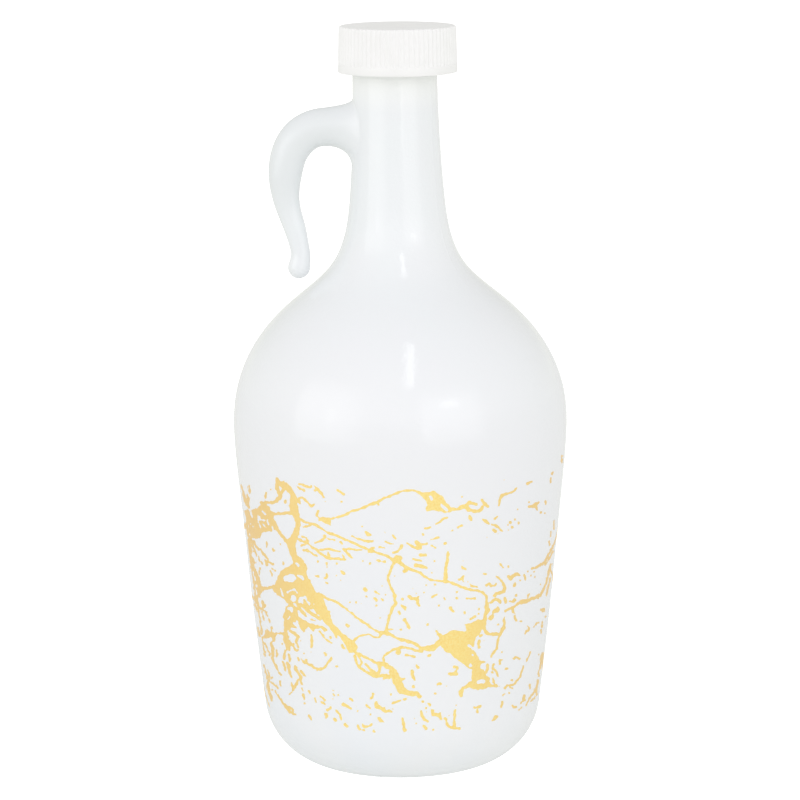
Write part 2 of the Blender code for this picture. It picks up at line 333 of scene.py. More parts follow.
def handle_rows(edge_bearing, edge_z):
    """Rings of the handle from the edge of the hole in the neck's grid to the tail, and its tip.

    The turn of each column is the direction of its edge point seen from the middle of the hole.
    The first rings slide over the neck from the edge to an oval foot. Then each column is the
    cubic Hermite curve that leaves the foot along the neck's skin, outwards, and joins the hook
    along its centre line. Its end slopes are QUARTER_ELLIPSE of the ways to where these cross,
    which makes a quarter of an ellipse, and more above, where it is sharper. Then come rings
    square to the hook, and a tail whose radius is the cosine of an angle and its length the sine.
    """
    around = -np.pi / 2 - edge_bearing
    turns = np.arctan2(around / PATCH_HALF_ANGLE, (edge_z - ROOT_HEIGHT) / PATCH_HALF_HEIGHT)
    foot_z = ROOT_HEIGHT + ROOT_HALF_HEIGHT * np.cos(turns)
    foot_bearing = -np.pi / 2 - ROOT_HALF_WIDTH * np.sin(turns) / wall_radius(foot_z)
    rows = []
    for t in np.linspace(0, 1, PATCH_ROWS + 1)[1:]:
        rows.append(skin(edge_bearing + (foot_bearing - edge_bearing) * t, edge_z + (foot_z - edge_z) * t))
    foot = rows.pop()
    middle = (ROOT_START_ABOVE + ROOT_START_BELOW) / 2
    swing = (ROOT_START_ABOVE - ROOT_START_BELOW) / 2
    start = middle + swing * np.cos(turns) - HOOK[0][0] * MM
    hook_start, away = hook_ring(start, turns)
    spread = [-np.sin(turns) * np.cos(foot_bearing), -np.sin(turns) * np.sin(foot_bearing), np.cos(turns)]
    spread = np.stack(spread, axis=-1)
    span = foot - hook_start
    inwards = np.sum(-away * span, axis=-1, keepdims=True)
    outwards = np.sum(spread * span, axis=-1, keepdims=True)
    slant = np.sum(spread * away, axis=-1, keepdims=True)
    reach = (QUARTER_ELLIPSE + ROOT_HUG * (1 + np.cos(turns)) / 2)[:, None] / (1 - slant**2)
    leave = -spread * np.maximum(outwards + slant * inwards, 0) * reach
    join = away * np.maximum(inwards + slant * outwards, 0) * reach
    for t in np.linspace(0, 1, ROOT_ROWS, endpoint=False):
        ends = (2 * t**3 - 3 * t**2 + 1) * foot + (3 * t**2 - 2 * t**3) * hook_start
        rows.append(ends + (t**3 - 2 * t**2 + t) * leave + (t**3 - t**2) * join)
    end = hook_knots()[-1]
    for t in np.linspace(0, 1, HOOK_ROWS):
        rows.append(hook_ring(start + (end - TAIL_ROUND - start) * t, turns)[0])
    for a in np.linspace(0, np.pi / 2, TAIL_ROWS + 2)[1:-1]:
        along = np.full(len(turns), end - TAIL_ROUND * (1 - math.sin(a)))
        rows.append(hook_ring(along, turns, math.cos(a))[0])
    tip = hook_ring(np.array([end]), np.zeros(1), 0)[0]
    return np.array(rows), tip


def hook_mask(count):
    """How far each of the handle's rings is on to the hook: a smooth step from 0 on the neck to 1 just
    past the root, and a smooth step down to a small part of that along the tail."""
    ring = np.arange(count)
    root_start = PATCH_ROWS - 1
    onto = smooth_step(root_start - MASK_ROWS_ON_NECK, root_start + ROOT_ROWS + MASK_ROWS_ON_HOOK, ring)
    tail = smooth_step(count - TAIL_FADE_ROWS, count - TAIL_FADE_ROWS / 2, ring)
    return onto * (1 - TAIL_FADE * tail)


def make_glass():
    """The whole glass as one closed grid: mouth, finish, wall, heel and push-up turned round the
    axis, with a window left out of the neck's grid where the handle's columns grow out of it."""
    heights = glass_heights()
    bearings = glass_columns()
    wall = skin(bearings[None, :], heights[:, None])

    def turned(profile, z_shift=0.0):
        """Rings through each point (r, z) of a profile."""
        r, z = profile[:, :1], profile[:, 1:] + z_shift
        return np.stack([r * np.sin(bearings), -r * np.cos(bearings), z + 0 * r * bearings], axis=-1)

    finish = arc((FINISH_RADIUS - RIM_ROUND, GLASS_TOP - RIM_ROUND), RIM_ROUND, np.pi / 2, 0, RIM_RINGS)
    finish = np.vstack([finish, [[FINISH_RADIUS, heights[0] + FINISH_SHOULDER]]])
    centre, radius, taper = heel_arc()
    heel = arc(centre, radius, -taper, -np.pi / 2, HEEL_RINGS)
    inwards = np.linspace(1, 0, PUSH_UP_RINGS + 1)[:-1]
    dome = np.stack([RING_INNER_RADIUS * inwards, PUSH_UP_HEIGHT * (1 + np.cos(np.pi * inwards)) / 2], axis=1)
    grid = np.concatenate([turned(finish), wall, turned(heel), turned(dome)])
    numbers = np.arange(grid.shape[0] * grid.shape[1]).reshape(grid.shape[:2])
    poles = np.array([[0, 0, GLASS_TOP], [0, 0, PUSH_UP_HEIGHT]])
    top_pole = numbers.size
    bottom_pole = top_pole + 1

    # The window: rings and columns that bound the handle's patch on the neck
    in_rows = np.flatnonzero(np.abs(heights - ROOT_HEIGHT) < PATCH_HALF_HEIGHT) + len(finish)
    in_columns = np.flatnonzero(np.abs(bearings + np.pi / 2) < PATCH_HALF_ANGLE)
    top, bottom, left, right = in_rows[0], in_rows[-1], in_columns[0], in_columns[-1]
    keep = np.ones((grid.shape[0] - 1, grid.shape[1]), bool)
    keep[top:bottom, left:right] = False
    quads = ring_quads(numbers)[keep.ravel()]
    edge = np.concatenate([
        numbers[top, left:right],
        numbers[top:bottom, right],
        numbers[bottom, right:left:-1],
        numbers[bottom:top:-1, left],
    ])
    edge_rows, edge_columns = np.divmod(edge, grid.shape[1])
    rows, tip = handle_rows(bearings[edge_columns], heights[edge_rows - len(finish)])
    handle_numbers = bottom_pole + 1 + np.arange(rows.shape[0] * rows.shape[1]).reshape(rows.shape[:2])
    tip_number = handle_numbers[-1, -1] + 1
    handle_rings = np.vstack([edge, handle_numbers])
    points = np.concatenate([grid.reshape(-1, 3), poles, rows.reshape(-1, 3), tip])
    faces = [
        quads,
        fan(numbers[0], top_pole),
        fan(numbers[-1, ::-1], bottom_pole),
        ring_quads(handle_rings),
        fan(handle_rings[-1, ::-1], tip_number),
    ]
    used = np.zeros(len(points), bool)
    for array in faces:
        used[array] = True
    renumber = np.cumsum(used) - 1
    glass = put_mesh("glass", points[used], *[renumber[array] for array in faces])
    mask = np.zeros(len(points))
    onto = hook_mask(len(rows))
    mask[handle_numbers] = onto[:, None]
    mask[tip_number] = onto[-1]
    attribute = glass.data.attributes.new(HOOK_MASK, "FLOAT", "POINT")
    attribute.data.foreach_set("value", mask[used].astype(np.float32))
    return glass


# Shape of the cap

def cap_outline():
    """The cap's outline (r, z) and how far the ribs show at each point, 0 to 1."""
    band_top = CAP_BOTTOM + CAP_BAND_HEIGHT
    shoulder = TOTAL_HEIGHT - CAP_EDGE_ROUND
    edge_centre = (CAP_TOP_RADIUS - CAP_EDGE_ROUND, shoulder)
    lid = np.array([[r, TOTAL_HEIGHT] for r in np.linspace(*CAP_LID_RINGS) * MM])
    edge = arc(edge_centre, CAP_EDGE_ROUND, np.pi / 2, 0, CAP_EDGE_RINGS)
    z = np.linspace(shoulder, band_top, CAP_SKIRT_RINGS)[1:]
    taper = CAP_MOUTH_RADIUS - CAP_TOP_RADIUS
    skirt_r = CAP_TOP_RADIUS + taper * (shoulder - z) / (shoulder - CAP_BOTTOM)
    skirt = np.stack([skirt_r, z], axis=1)
    step = [[CAP_MOUTH_RADIUS - inwards, band_top - down] for inwards, down in BAND_STEP]
    foot_centre = (CAP_MOUTH_RADIUS - CAP_FOOT_ROUND, CAP_BOTTOM + CAP_FOOT_ROUND)
    foot = arc(foot_centre, CAP_FOOT_ROUND, 0, -np.pi / 2, CAP_FOOT_RINGS)
    inside = CAP_MOUTH_RADIUS - CAP_WALL
    inner = [[inside, CAP_BOTTOM], [inside, TOTAL_HEIGHT - CAP_LID], [inside / 2, TOTAL_HEIGHT - CAP_LID]]
    outline = np.vstack([lid, edge, skirt, step, foot, inner])
    r, z = outline.T
    ribbed = smooth_step(band_top + RIB_START[0], band_top + RIB_START[1], z)
    ribbed = ribbed * (1 - smooth_step(TOTAL_HEIGHT - RIB_FADE, TOTAL_HEIGHT, z))
    return outline, ribbed * (r > CAP_TOP_RADIUS - CAP_EDGE_ROUND)


def make_cap():
    """The cap: its outline turned round the axis, less the valleys between the ribs.

    A valley is RIB_DEPTH times (1 - cos) / 2 of the rib's phase, to the power of VALLEY_POWER, so
    the ribs are a little broader than the valleys between them.
    """
    outline, ribbed = cap_outline()
    bearing = np.linspace(0, 2 * np.pi, CAP_COLUMNS, endpoint=False)
    valley = ((1 - np.cos(bearing * CAP_RIBS)) / 2) ** VALLEY_POWER
    r = outline[:, :1] - RIB_DEPTH * ribbed[:, None] * valley
    grid = np.stack([r * np.sin(bearing), -r * np.cos(bearing), outline[:, 1:] + 0 * r], axis=-1)
    numbers = np.arange(grid.shape[0] * grid.shape[1]).reshape(grid.shape[:2])
    poles = np.array([[0, 0, TOTAL_HEIGHT], [0, 0, TOTAL_HEIGHT - CAP_LID]])
    points = np.concatenate([grid.reshape(-1, 3), poles])
    top = fan(numbers[0], numbers.size)
    bottom = fan(numbers[-1, ::-1], numbers.size + 1)
    return put_mesh("screw_cap", points, ring_quads(numbers), top, bottom)


# Pattern of the gold print, drawn over the photograph. A stroke is a row of points
# x,y,width in pixels of the photograph, joined by a smooth curve, and strokes end with ";".

CROWN_VEINS = """
276.5,478.5,2 277.5,483,4 276.5,488,3; 278,482,4 283,485,5.5 288,488,5.5 291.5,493,5 294,498,6;
283.5,481.5,1.5 283,484,2; 288,484.5,1.5 286.5,487,2; 277,487,2.5 279,492,3.5 279.5,497,4 276.5,500.5,3.5
272,502.5,2.5 266,502.5,2.5 262,503.5,4; 284,489,3 281.5,492.5,3 280,497,3.5; 285.5,500.5,2 285.5,502.5,2;
294,498,6 293.5,505,8 295,512,7.5 297.5,519,5 298,525,4.5 296.5,531,5.5 294.5,537,7 291.5,543,8
292.5,549,6.5 294,555,6 297,561,8 300,568,14; 294,499,3 298,501,3 300,503.5,1.5; 299,498,1.5 302,498,2
305,500,2 308,503,1.5 311,506,2 314,504.5,2; 270,512.5,3 275,514,2.5 281,513.5,2.5 288,513,2.5 292,514,3;
263,504,4 266,508,5 269,512,4 271,516,3; 270,514,4 274,522,3 278,530,3 283,537,2.5 288,543,3.5; 241,485,.7
246,500,1 249,508,1.5; 243,493,1 245,501,1.5 248,507,1.5; 247.5,495,1.5 248,500,3 248,503.5,2; 249,486,1
249.5,490,2 250,493,1; 266,493,1.5 265.5,498,1.5; 270.5,489.5,1
"""
LEFT_VEINS = """
250.5,538,2.5 250.5,548,1.3 251,556,1 253,566,1 255.5,575,1.2 258,583,1.8 258.5,592,1.8 257,600,1.5;
248.5,539,1.2 249.3,550,1 250.5,560,1 252.3,572,1 254,583,1 255.3,594,1.2 256,603,1; 252,541,1.5
254,550,1.2 258,557,1.2 262,564,1; 249.5,541,1 251,556,1 253.5,566,1.2 258.5,577,1.2 260,586,2
259.5,594,2; 255,545,1 259,550,1.5; 253,566,1 257,574,1.3 259,580,1; 260,587.5,3 265,588.5,3 270,587.5,2.5
275,587,4; 261,592,2 263,589,2; 254,541,1.5 256,547,1.2 260,549.5,1.8; 262,552,2 266,557,1.8 269,562,1.6
273,564,1.8; 265,560,1 267,565,2.5; 272,568,1.2 275,571,1.5; 270.5,571,1.2 272,576,1; 249.5,545,1.5
252,552,1; 251,556,1.5 255,563,1; 253,560,1 251.5,568,1.6; 254,570,1.6 257.5,577,1.2; 256,581,1.6
253.8,588,1; 257,588,1.8 260,597,1.2; 280,543.5,1 280.5,545,1; 266.5,542,1 266.5,547,1.5; 273,549,2
274,550.5,2; 283,562,1 283.5,564,1.5; 260,568,1 259,575,1
"""
CLAW_VEINS = """
286,599,3 291,603.5,3 295,609,3 296,615,3.5 294,620,4; 297,602,2.5 301,610,2 305,613.5,1.5; 287,607,1.5
290,605.5,2 293,606,1.5; 300,604,2.5 306,609,3 311,613,3 316,616,3 320,618.5,3; 304,600,2 306,604,3
309,607,2.5 312,609,1.5; 309,600,2 312,604,2 315,609,2 318,613,2.5; 298,608,2 302,612,2 305,615,2
307,617,1; 313,600,3 316,605,3 319,611,4 322,616,5; 311,605,2 313,602,2; 318,596,6 320,602,8 323,609,8
325,615,9 328,621,7 331,625,5 335,630,6 340,634,4 344,638,5 350,644,9 352,647,10; 326,611,1.5 329,612,1.5;
334,631,3 336,636,2 336.5,638,1.5; 330.5,637.5,2; 320,631,1.5 323,636,1.5 327,640,1.3 332,643,1;
324,628,1.5 328,632,1.5; 312,619.5,1.5 315,620.5,1.5; 311,635,1 312,641,2.5 311.5,647,2; 290,631,2
295,634,3 298,637,2.5 296,642,2 298.5,647,1; 289,641,2 293,646,1.5 296,650,2 298,650,1.5; 292,645,1.5
294,644,1.5; 282,644,1.5; 300.5,641,1.2
"""
LOWER_LEFT_VEINS = """
262,601,2 264,606,3 262,608,1.5; 257,602,2 260,608,1.5 265,611,1.2 268,617,1 271,624,1; 257.5,577,1.2
259.5,585,2 259,594,1.5; 247.5,512,2 247.5,524,2.2 248.5,536,2; 256.5,597,1.5 258,606,1.5 259.5,616,1.2
261,626,1.2 262,634,1.5; 262,637,1 263.5,646,1 265,656,1.2; 255,604,1.5 258,612,1; 262,612,.8 264,620,.8;
258,628,1.5 260,636,1.5; 271.5,627,1 271.5,632,1.2; 265,643,1.2 268,650,1 270,655,1.2; 271.5,643,2.5
273,651,3 272.5,658,2.5 273.5,662,1.5; 274,662,1.5 277,668,2 278,670,1; 276.5,650,1 277,656,1.5;
285,651,1.5 284,656,2.5 284,659,2; 288.5,654,1.5 290,659,2.2 290,661,1.5; 283,662,2 285,669,2
285.5,671,1.2; 287.5,663,2.5 289,669,2.5 291,676,1.5 292,678,1; 295,666,1.5 296,669,3 298.5,673,2
301,678,2.5 300.5,682,1.5 303,685,1; 301,671,2 303,674,1.8 305.5,676,1; 298,658,1.5 299,660,1.5; 301,659,1
305,663,2 307,664,1; 306,660,1.5 307,663,2; 308,664.5,2 312,665.5,2 316,668.5,2 321,669,2.3 325,667,2
328,662.5,2 331,659.5,2.5 331.5,656.5,1.5; 317,670.5,1.5; 325,653,2 326,654.5,2; 304,653.5,1; 311,652,1;
336,666,1.2 338,666,1.2; 342,645.5,2 344,648,2; 350,651.5,1.2 352,652.5,1.2; 347,625,2.5 349,626,2.5;
346,631.5,.8; 291,683,1 294,687,3 297,683,2.5 298,680,1.5; 294,687,3 292,692,1.5; 271,682,1 275,685,1.5
278,688,1.5; 272,678,2; 280,681,1.5 280.5,685,1.5; 279,673,1.5 282,675,1.5; 264,665,1 266,673,1.2
268,680,1.5 269,690,1.5 271,697,2 272,701,1; 268,670,1 270,680,1; 267,683,1 268,690,1.5; 272,690,1.5;
266,652,1; 275,691,1 279,697,1.5 283,703,1.8 288,708,3 291.5,709,2.5 293.5,711.5,1; 288,709,3 291,712.5,2
295,714.5,1.5; 289.5,694,1.2; 302,688,1 303,691,1; 303,694,1.5 304,699,2.2; 309,691,1.5 310,693,1.5;
304.5,703.5,.8; 309,715,2 311,719.5,1.2; 315,698,1.2 316,702,1.2; 320.5,696,1.2 325,700.5,1.2; 322,702,2
324.5,703.5,2; 327,710,2.5 330.5,708,2; 326,714,2.8 327,716.5,2.8; 336.5,710,1 339.5,714,2 341.5,719.5,1;
332,690,1 333.5,690.5,1; 333,694,1.5 334,696,1.5; 333,699,1; 338,695,2; 334.5,719,2.5 335.5,720.5,2.5;
345,724,2.5 347,726.5,2.5; 343.5,704.5,3.5 347,706.5,2.5 351.5,709,1; 350,698.5,1.5 352.5,700.5,1.5;
357.5,711,1.5; 356,706.5,1; 357.5,726,1.5 360,729,2 364,730,1.5; 362.5,724,1.2 363.5,726.5,2 368,726.5,2
371.5,724,1.5; 374,730.5,3; 378.5,718.5,3 381,720.5,2.5 385,722.5,1; 376,703.5,3.5 377,707,3.5 381,707.5,3
384.5,711,2.5 389,710.5,2 392,712,1.2; 384,708,2 386,712,2; 366.5,705,1.5 370,709,1.5; 370.5,714.5,2;
372.5,694,2 372,697.5,3; 392,703.5,1.5 396,702,2 400.5,700.5,1.5; 391,694.5,1.5; 404,699.5,2 406,699,2;
392.5,709,1.5; 402.5,718.5,2 404,725,2.5 404.5,730.5,3
"""
LONG_VEINS = """
299,518,2 303,521,1.8 308,523,2 314,524.5,2.5 317,526,2.5 322,529,1.5 326,531.5,1.2 329,533,2.5 335,535,2
342,538,1.8 350,541.5,1.8 358,545,1.8 366,548.5,2 370,550.5,3 376,552,2 384,555,2 390,557.5,2.2 394,560,4
398,561,4 403,565,3 406,568,3.5 412,570,2.5 419,572.5,2 425,576.5,2 431,579.5,1.8 440,581,1.5 448,581.5,2
455,584,2.2 462,587.5,2.2 470,589.5,2 478,591,2 483,592.5,2 486,596,2 486.5,602,1.3 486,606,2.5; 303,527,1
307,526,1.5 312,524,2; 397,557.5,4 400,558,4; 371,548,1.5 374,547,1; 368.5,552,2; 404,571,2.5 407,571,2.5;
297,538.5,2 302,541,2 308,543.5,2 312,547,1.8 316,549,1.8 320,550,1.5 328,549,1.5 335,550.5,1.5
340,551.5,1; 316,549.5,1.5 320,553,2 325,556.5,2 328,558.5,2.5 334,558.5,2 341,559,2 346,559.5,1.2;
328,552,2 329,556,2; 342,554,1 344,558,1.5; 302,536.5,1.5 306,538,1.5 308,541,1; 315.5,542.5,1.5
320,541,1.8 324,538.5,2 325,536,2 323.5,535.5,1; 325,538,1.5 330,539,1.2 335,540,1; 304,550,2.5 309,551,2
313,554,1.5 317,556,1; 302,545,2 304,545,2; 343.5,549,1.5 350,549,1.2 362,550,1; 344.5,549.5,2.5
348.5,554,2 352,558,1.5; 340.5,542,2 342,544,2; 328,519,2.5 334,518,1.8 340,516.5,2 346,514.5,2
351,511.5,2 358,509.5,1.8 364,507.5,2 370,504.5,2.2 375,503.5,3 378,501.5,2.5 383,499,2 390,496,2
396,493.5,2 402,491,1.8 409,490.5,1.8 415,491,1.8 419,493,2.5; 378,504.5,2; 452,509.5,3 457,509,2.5
461,507.5,3.5 466,507,4 470,510,3.5 475,511,3 479,511,3 481.5,508.5,3 481.5,506.5,1.5; 466,505.5,3
469,503,3 473,503,2.5 476.5,504.5,2; 448,551.5,1.5 447.5,556,2.5 447,561,2.5 446,566,2.5 445.5,571,3
445.5,576,3.5 445,581,4; 394,563,3 391.5,568,2 389.5,573,2.2 388,577,2.2 388.5,582,1.8 390.5,587,1.8
393,591,2 394.5,596,3 394.5,600,2 396,602.5,2.5 394,606,3 392,610,2.5 389.5,616,2.3 388,622,2 387,627,2
386,631,3.5 386,633,4; 388,629.5,1 393,629.5,1 401,629.5,1.3
"""
MIDDLE_VEINS = """
318,596,3 322,595.5,2.5 328,599,2 335,601.5,1.8 341,605,1.8 347,609.5,1.5 354,615,1.5 360,620,1.8
366,623.5,2 371,627.5,1.8 377,631.5,1.8 382,632.5,3 386,633,3; 381,633,2 379.5,637,1.5 374,637,1
369,634.5,1 364,635,1 358,637,1.5 354,640.5,2.5 350,643,5; 358,654,3 364,657,2 370,659.5,2 375,662.5,2.2
380,664,4 384,664,4 387,666.5,5 391,669.5,6 395,676,8 398,683,8 401,689,8 406,692,5 412,693.5,4.5
417,694,4 420,697,3.5; 355,656,2.5 356,661,2 359,667,2 362,669,2 366,671.5,2 370,674,2.5 375,676.5,2.5
380,676.5,2 384,675,3 389,677,4; 358,655,2 361,660,1.5 362,663,1.5 360,665.5,2; 365,664,1.5 369,667.5,2
372,671.5,3 376,673.5,4 379,671,2.5 380,666,3; 384,678.5,2 387,677,3; 402,680,1.5 404.5,678.5,2; 384,662,2
384,657,2 387,653.5,2 392,650.5,2 397,648.5,2.5 403,647.5,2 410,648.5,2 417,650.5,2 422,650.5,3;
398.5,652,5; 386,633,4 390,634.5,3 395,637.5,2 401,639.5,2.5 408,641,3 414,643,3 418,646,2.5 421,648.5,3
427,648.5,5 432,648,6 436,645.5,5 440,642,6; 405,655,1.5 410,655.5,1.8 415,657,1.5; 428.5,656,2
430.5,655,2.2
"""
RIGHT_VEINS = """
436,631,1 438,633,2.5 441,637,4; 486.5,600,1.3 486.5,605,3.5 487.5,610,4.5 485,615,2.5 485,619,4;
485,622,2.5 483.5,627,3 486,632,3 490,634.5,2.5 495,634,3 500,634,2.5 502,631,3 504,625,2.5 504,620,1.5
504.5,617,1; 498,624.5,1.8; 493,625,.8; 480,636.5,1.8 482,635,1.8; 479,641,2 479,647,2.5; 483.5,640.5,1.2;
499,637,1.5 497.5,643,1.8 496,649,2 493,654,1.8 491,657,1.5; 501.5,652,1.5; 500,660,2 500,664,2;
502,659.5,1; 487.5,665,2.5 487.5,669,2.5 486,672,2; 493.5,664,1.5 493,669,2 496,671,2 498,676,1.5;
492.5,672,1.5; 493,678,1 493.5,682,2 496,685,1.5; 480,662,1.5 485,662,1.5; 505,688,2 508,685.5,2 513,685,2
516,682,1.5 520,676.5,1.5 522,671,1.3 523.5,666,1; 511.5,688,1.5; 506.5,669,2.8; 511,680,1.8 512,680,1.8;
513,658.5,1.5 516,657.5,2 519.5,659,1; 526,662,.8 530.5,652,.8; 503,695,1 505,694,1; 509,693,1.2;
502.5,702,2 501,707,1.5; 475,708,2 478,707,2 480,706.5,2.5; 477,710,2 477.5,712.5,1.5; 492,720.5,1
495,718,3 496.5,716.5,2.5; 512,705.5,1 514,707,2 517,707,1.5; 519,709.5,1 521.5,707.5,1; 521,703,1
523,699.5,2 524.5,696,2.5; 525,700,1.5; 526,705,1 530,698,1.2 534,692,1.2 537,686,1.5; 530,688,1.5
530,684,1; 531,701,.8 535,697,1; 536.5,695,1.5 536.5,688,1.5 538,680,1.5; 538.5,676,1.5 539,670,1.2;
540,668,1.5 542,660,1.8 543,653,1.5; 540.5,660,1.2 541.5,655,1.2; 538.5,654.5,1; 545,617,1 546,616,1;
543,610,4; 542,622,1.2 542,627,1.5; 541,630,1 541,633,1; 534,626.5,1 536.5,623.5,1.2 539,622.5,1;
527.5,626.5,1.5 529,629,2 527,631,1.5 525,633.5,1; 514.5,616.5,2 516,620,2.2; 520.5,621,2; 505,611,2
509,609,2 514,607,1.8 518,603.5,2 522,602,4 527,601,3.5 532,598.5,2.5 537,597,3 541,594,2.5 544,588,1.8
546.5,582,1.5 548,575,1.5 550,568,1.8 551,564,1; 512.5,609,2.5 513.5,613,1.8; 528,598,1 528,595,1
530,593.5,1; 546,596,1 548,588,1 550.5,578,1; 532,568.5,2 537,567,2 541,564.5,2.2 545,562,2.5 547,557,2
550,552,1.8 553,546,1.5; 545,565,1 549,559,1.2 553,551,1.2; 508.5,576.5,2.5 510.5,578.5,3.5 513,576,3
517,574,2.5 520,575.5,1.2; 496,576.5,1 500,579.5,1.5 503.5,584,2.2 504.5,590,3 502,592.5,2.2 498,593,3
494,595.5,2.5; 486.5,585.5,2 489,583.5,2.2 491,586,2 495,585.5,1.5 496,583.5,1; 514,586,2.5 515,582.5,1.5;
524,574,1 525,578,1.8 525,580,1; 527.5,571.5,1.2; 534,572,1.2; 531,575.5,1.2; 508,566.5,2.5; 500,563.5,1
503,567.5,1; 516,595.5,2.5; 490,602.5,2 495,600,2.5 499,600.5,3 500.5,603,2; 505,598.5,2.5
505.5,602.5,2.2; 509.5,601.5,1.2 513,602,2 515,599.5,2.5; 540.5,584.5,1; 534.5,577,.8; 520,580.5,.8
"""
UPPER_FLECKS = """
462,497,1.5; 442,491.5,1; 482,500,2 485,504,3 488,507,2; 469.5,516,2.5 471,519.5,3; 482.5,519.5,2
486,521.5,2.5 488.5,524,2; 499,505.5,1.2 499.5,500,2 501,497,2.5 503,495,3 508,493.5,1.5 513,491.5,1.5
516.5,488.5,1.2; 527,484,1.8 531.5,481.5,1.8; 550.5,478,1.2 550.5,482.5,1; 553,472,1.5 552,474,1.5;
562,456,1.2 562,462,1.2; 504,480,.8; 529,502,1.8; 529,506.5,2 533,506,3 536,504,3 539,502.5,1.5; 535,506,3
537,509.5,2; 541,512.5,2; 544.5,513,1.2; 545.5,501,1.5 545.5,504,1.5; 517.5,509.5,1; 494,519,1.5
497,516.5,1.5; 501,519.5,1.5; 510.5,522.5,2.5; 508,525,1.2; 515,519.5,1.5; 518.5,523,2; 512,527,2.2;
508.5,530,1; 492,524.5,1.2 496,525.5,2.5 499,528,1.8 502,531,1.2; 493.5,530,2.8 495.5,531.5,2.8;
498,534,1; 487,537.5,1; 549,541,1.2 549.5,545,1.2; 554,521,1 554,529,1; 551,532,1 550.5,536,1; 318,511,2
317,515,2; 325.5,501.5,1; 341.5,501.5,1.5; 338,490,1.8 343.5,494.5,1.8; 299,484,1.5 304,485.5,2
310,487.5,2 311,485.5,1.2; 297.5,487,1 301,489,1.8 304,491,2; 314.5,486,1 318,489.5,2.5 321,493,2
324,497.5,1.2; 315,490.5,2
"""
MIDDLE_FLECKS = """
447,517.5,1.5 443,519,2 440,522,1.3 436,524,1; 425,528.5,1.5 428,528,1.5 430.5,527,1.5; 458,527.5,1.6
461.5,525.5,1.6; 450,531.5,1.4 452.5,530.5,1.4; 423,534,2 423.5,535,2; 430.5,539.5,1 435,538.5,1.5
439,537.5,1; 384,531,1 385.5,533,1; 362,526.5,1.5; 366,532,2 368,534,3 370.5,535,2; 352,536,1
357,538.5,1.8 362,540,1.2 367,541,2 372,541.5,2.2; 392.5,535.5,1 396,539,1.5; 385.5,542,1 389,543.5,1.2
393.5,544,1; 407,543,1.5 411,545,1.2 414,547.5,2 420,548,2.5; 416,542,3 419,545,4 421,548,2; 421,544.5,1
424,544,1.2 427,543.5,1.5; 444,543.5,1.8 446,543.5,1.8; 431,545.5,1.8 435,547.5,1.8; 393,553,1.8
397,551.5,2 400,549,2 402,546,3; 379,547,1.2 385,548,1.2; 420,555,2.6 425.5,554.5,2.6; 413,559,1
417,560,1.8 421.5,561,1.2; 374,560,1 385,561.5,1.6; 363,561,1.2; 370,564,2; 415.5,565.5,3 420,566,3.5
426.5,568,2.2; 434.5,561,1.5; 463,561,1; 462,567,1.5 466,569.5,2; 462,578,2.5 463.5,576,1.5;
458.5,579.5,1.5 463,579,1.5; 463,581.5,.8 468,582,.8; 470,584,1 472,586,1.8 477,587,.8; 474,576,1;
483,574,1 486,574,1; 432,573,1.2; 435,584.5,1.8; 426,585,1; 457,592,1.5; 457,598,1.8; 432,597,1.5
437,594.5,1.5; 467,598.5,1.6 475,598.5,1.6; 413,588.5,1.2; 424,592.5,1.5; 416,593.5,1.2; 408.5,596.5,2.5
412,598.5,3 417,599,3 418,603,2.5 419.5,606,2; 418.5,597,2; 402.5,599.5,2; 402,605.5,2 404.5,608,3
405.5,610,1.5; 444,597,1.2 445,600,1.2; 439,605,1.5; 450,608,2.5 453,611,2.5; 465,613,1.8; 479,609,2;
479,614,1.8; 399,611.5,1.8 400,614,1.8; 404.5,619.5,2.5 407,624,2.5 409,628,2.5; 427.5,624.5,2;
470.5,619.5,1.8 475,616.5,1.8; 413.5,635.5,.8; 326.5,563,1.5 327,567,1.5; 337,563.5,1.8; 308,559,1;
317.5,561,1.2 318.5,562,1.2; 341,571.5,2 344.5,573.5,2.5; 315.5,576,1.8 318.5,576.5,1.8; 326.5,573,1
327,577,1.5 324.5,578.5,1.5; 336.5,575.5,1.2; 326,582.5,1.5 327.5,583.5,1.5; 341,580,.8; 365,589.5,4;
366,596.5,1.5 367,597,1.5; 375,591.5,1.2 379,594,1.2; 374.5,598,1.8 376.5,600.5,2; 381,598.5,1.4
383,600,1.4; 385.5,595,1.5; 350,602,1.2; 356,603,1.5; 361,603.5,.8; 376.5,605.5,1.5; 386.5,603,1;
380,618,.8; 397.5,571,1; 394.5,576,1; 382,586,1
"""
LOWER_FLECKS = """
421,711.5,1.5 422,716,3 425,719.5,2.5 427.5,721,2; 423.5,725.5,2 426,728.5,2.5; 433,729.5,2;
432.5,711,3.5; 432.5,715.5,2 436,714.5,3 439.5,716,3.5 441,719,1.5; 440,713,2; 427.5,703.5,2 430,704.5,2;
422.5,701.5,2; 426,708,2; 426.5,712,1.2; 445,718.5,2.5 447,723.5,2.2 450,727,2.5 454,727.5,3
459.5,728.5,1.8; 455.5,709.5,1.5 454.5,715,2.2 454.5,720,2 454.5,727,3; 449,715.5,1.2; 414.5,718.5,1;
416,723,1; 413.5,686.5,3; 412,671,2.5 412.5,675,3 414.5,680,1.5; 416.5,665.5,2 418,667.5,2.5; 438,684,2.8
440,683.5,2.8; 435,693.5,1.8; 446.5,686,.8; 449,674,2.5 454,674,3 457,674,2; 456,671,2.5 457,668,2
454.5,667,3; 456,705.5,1
"""

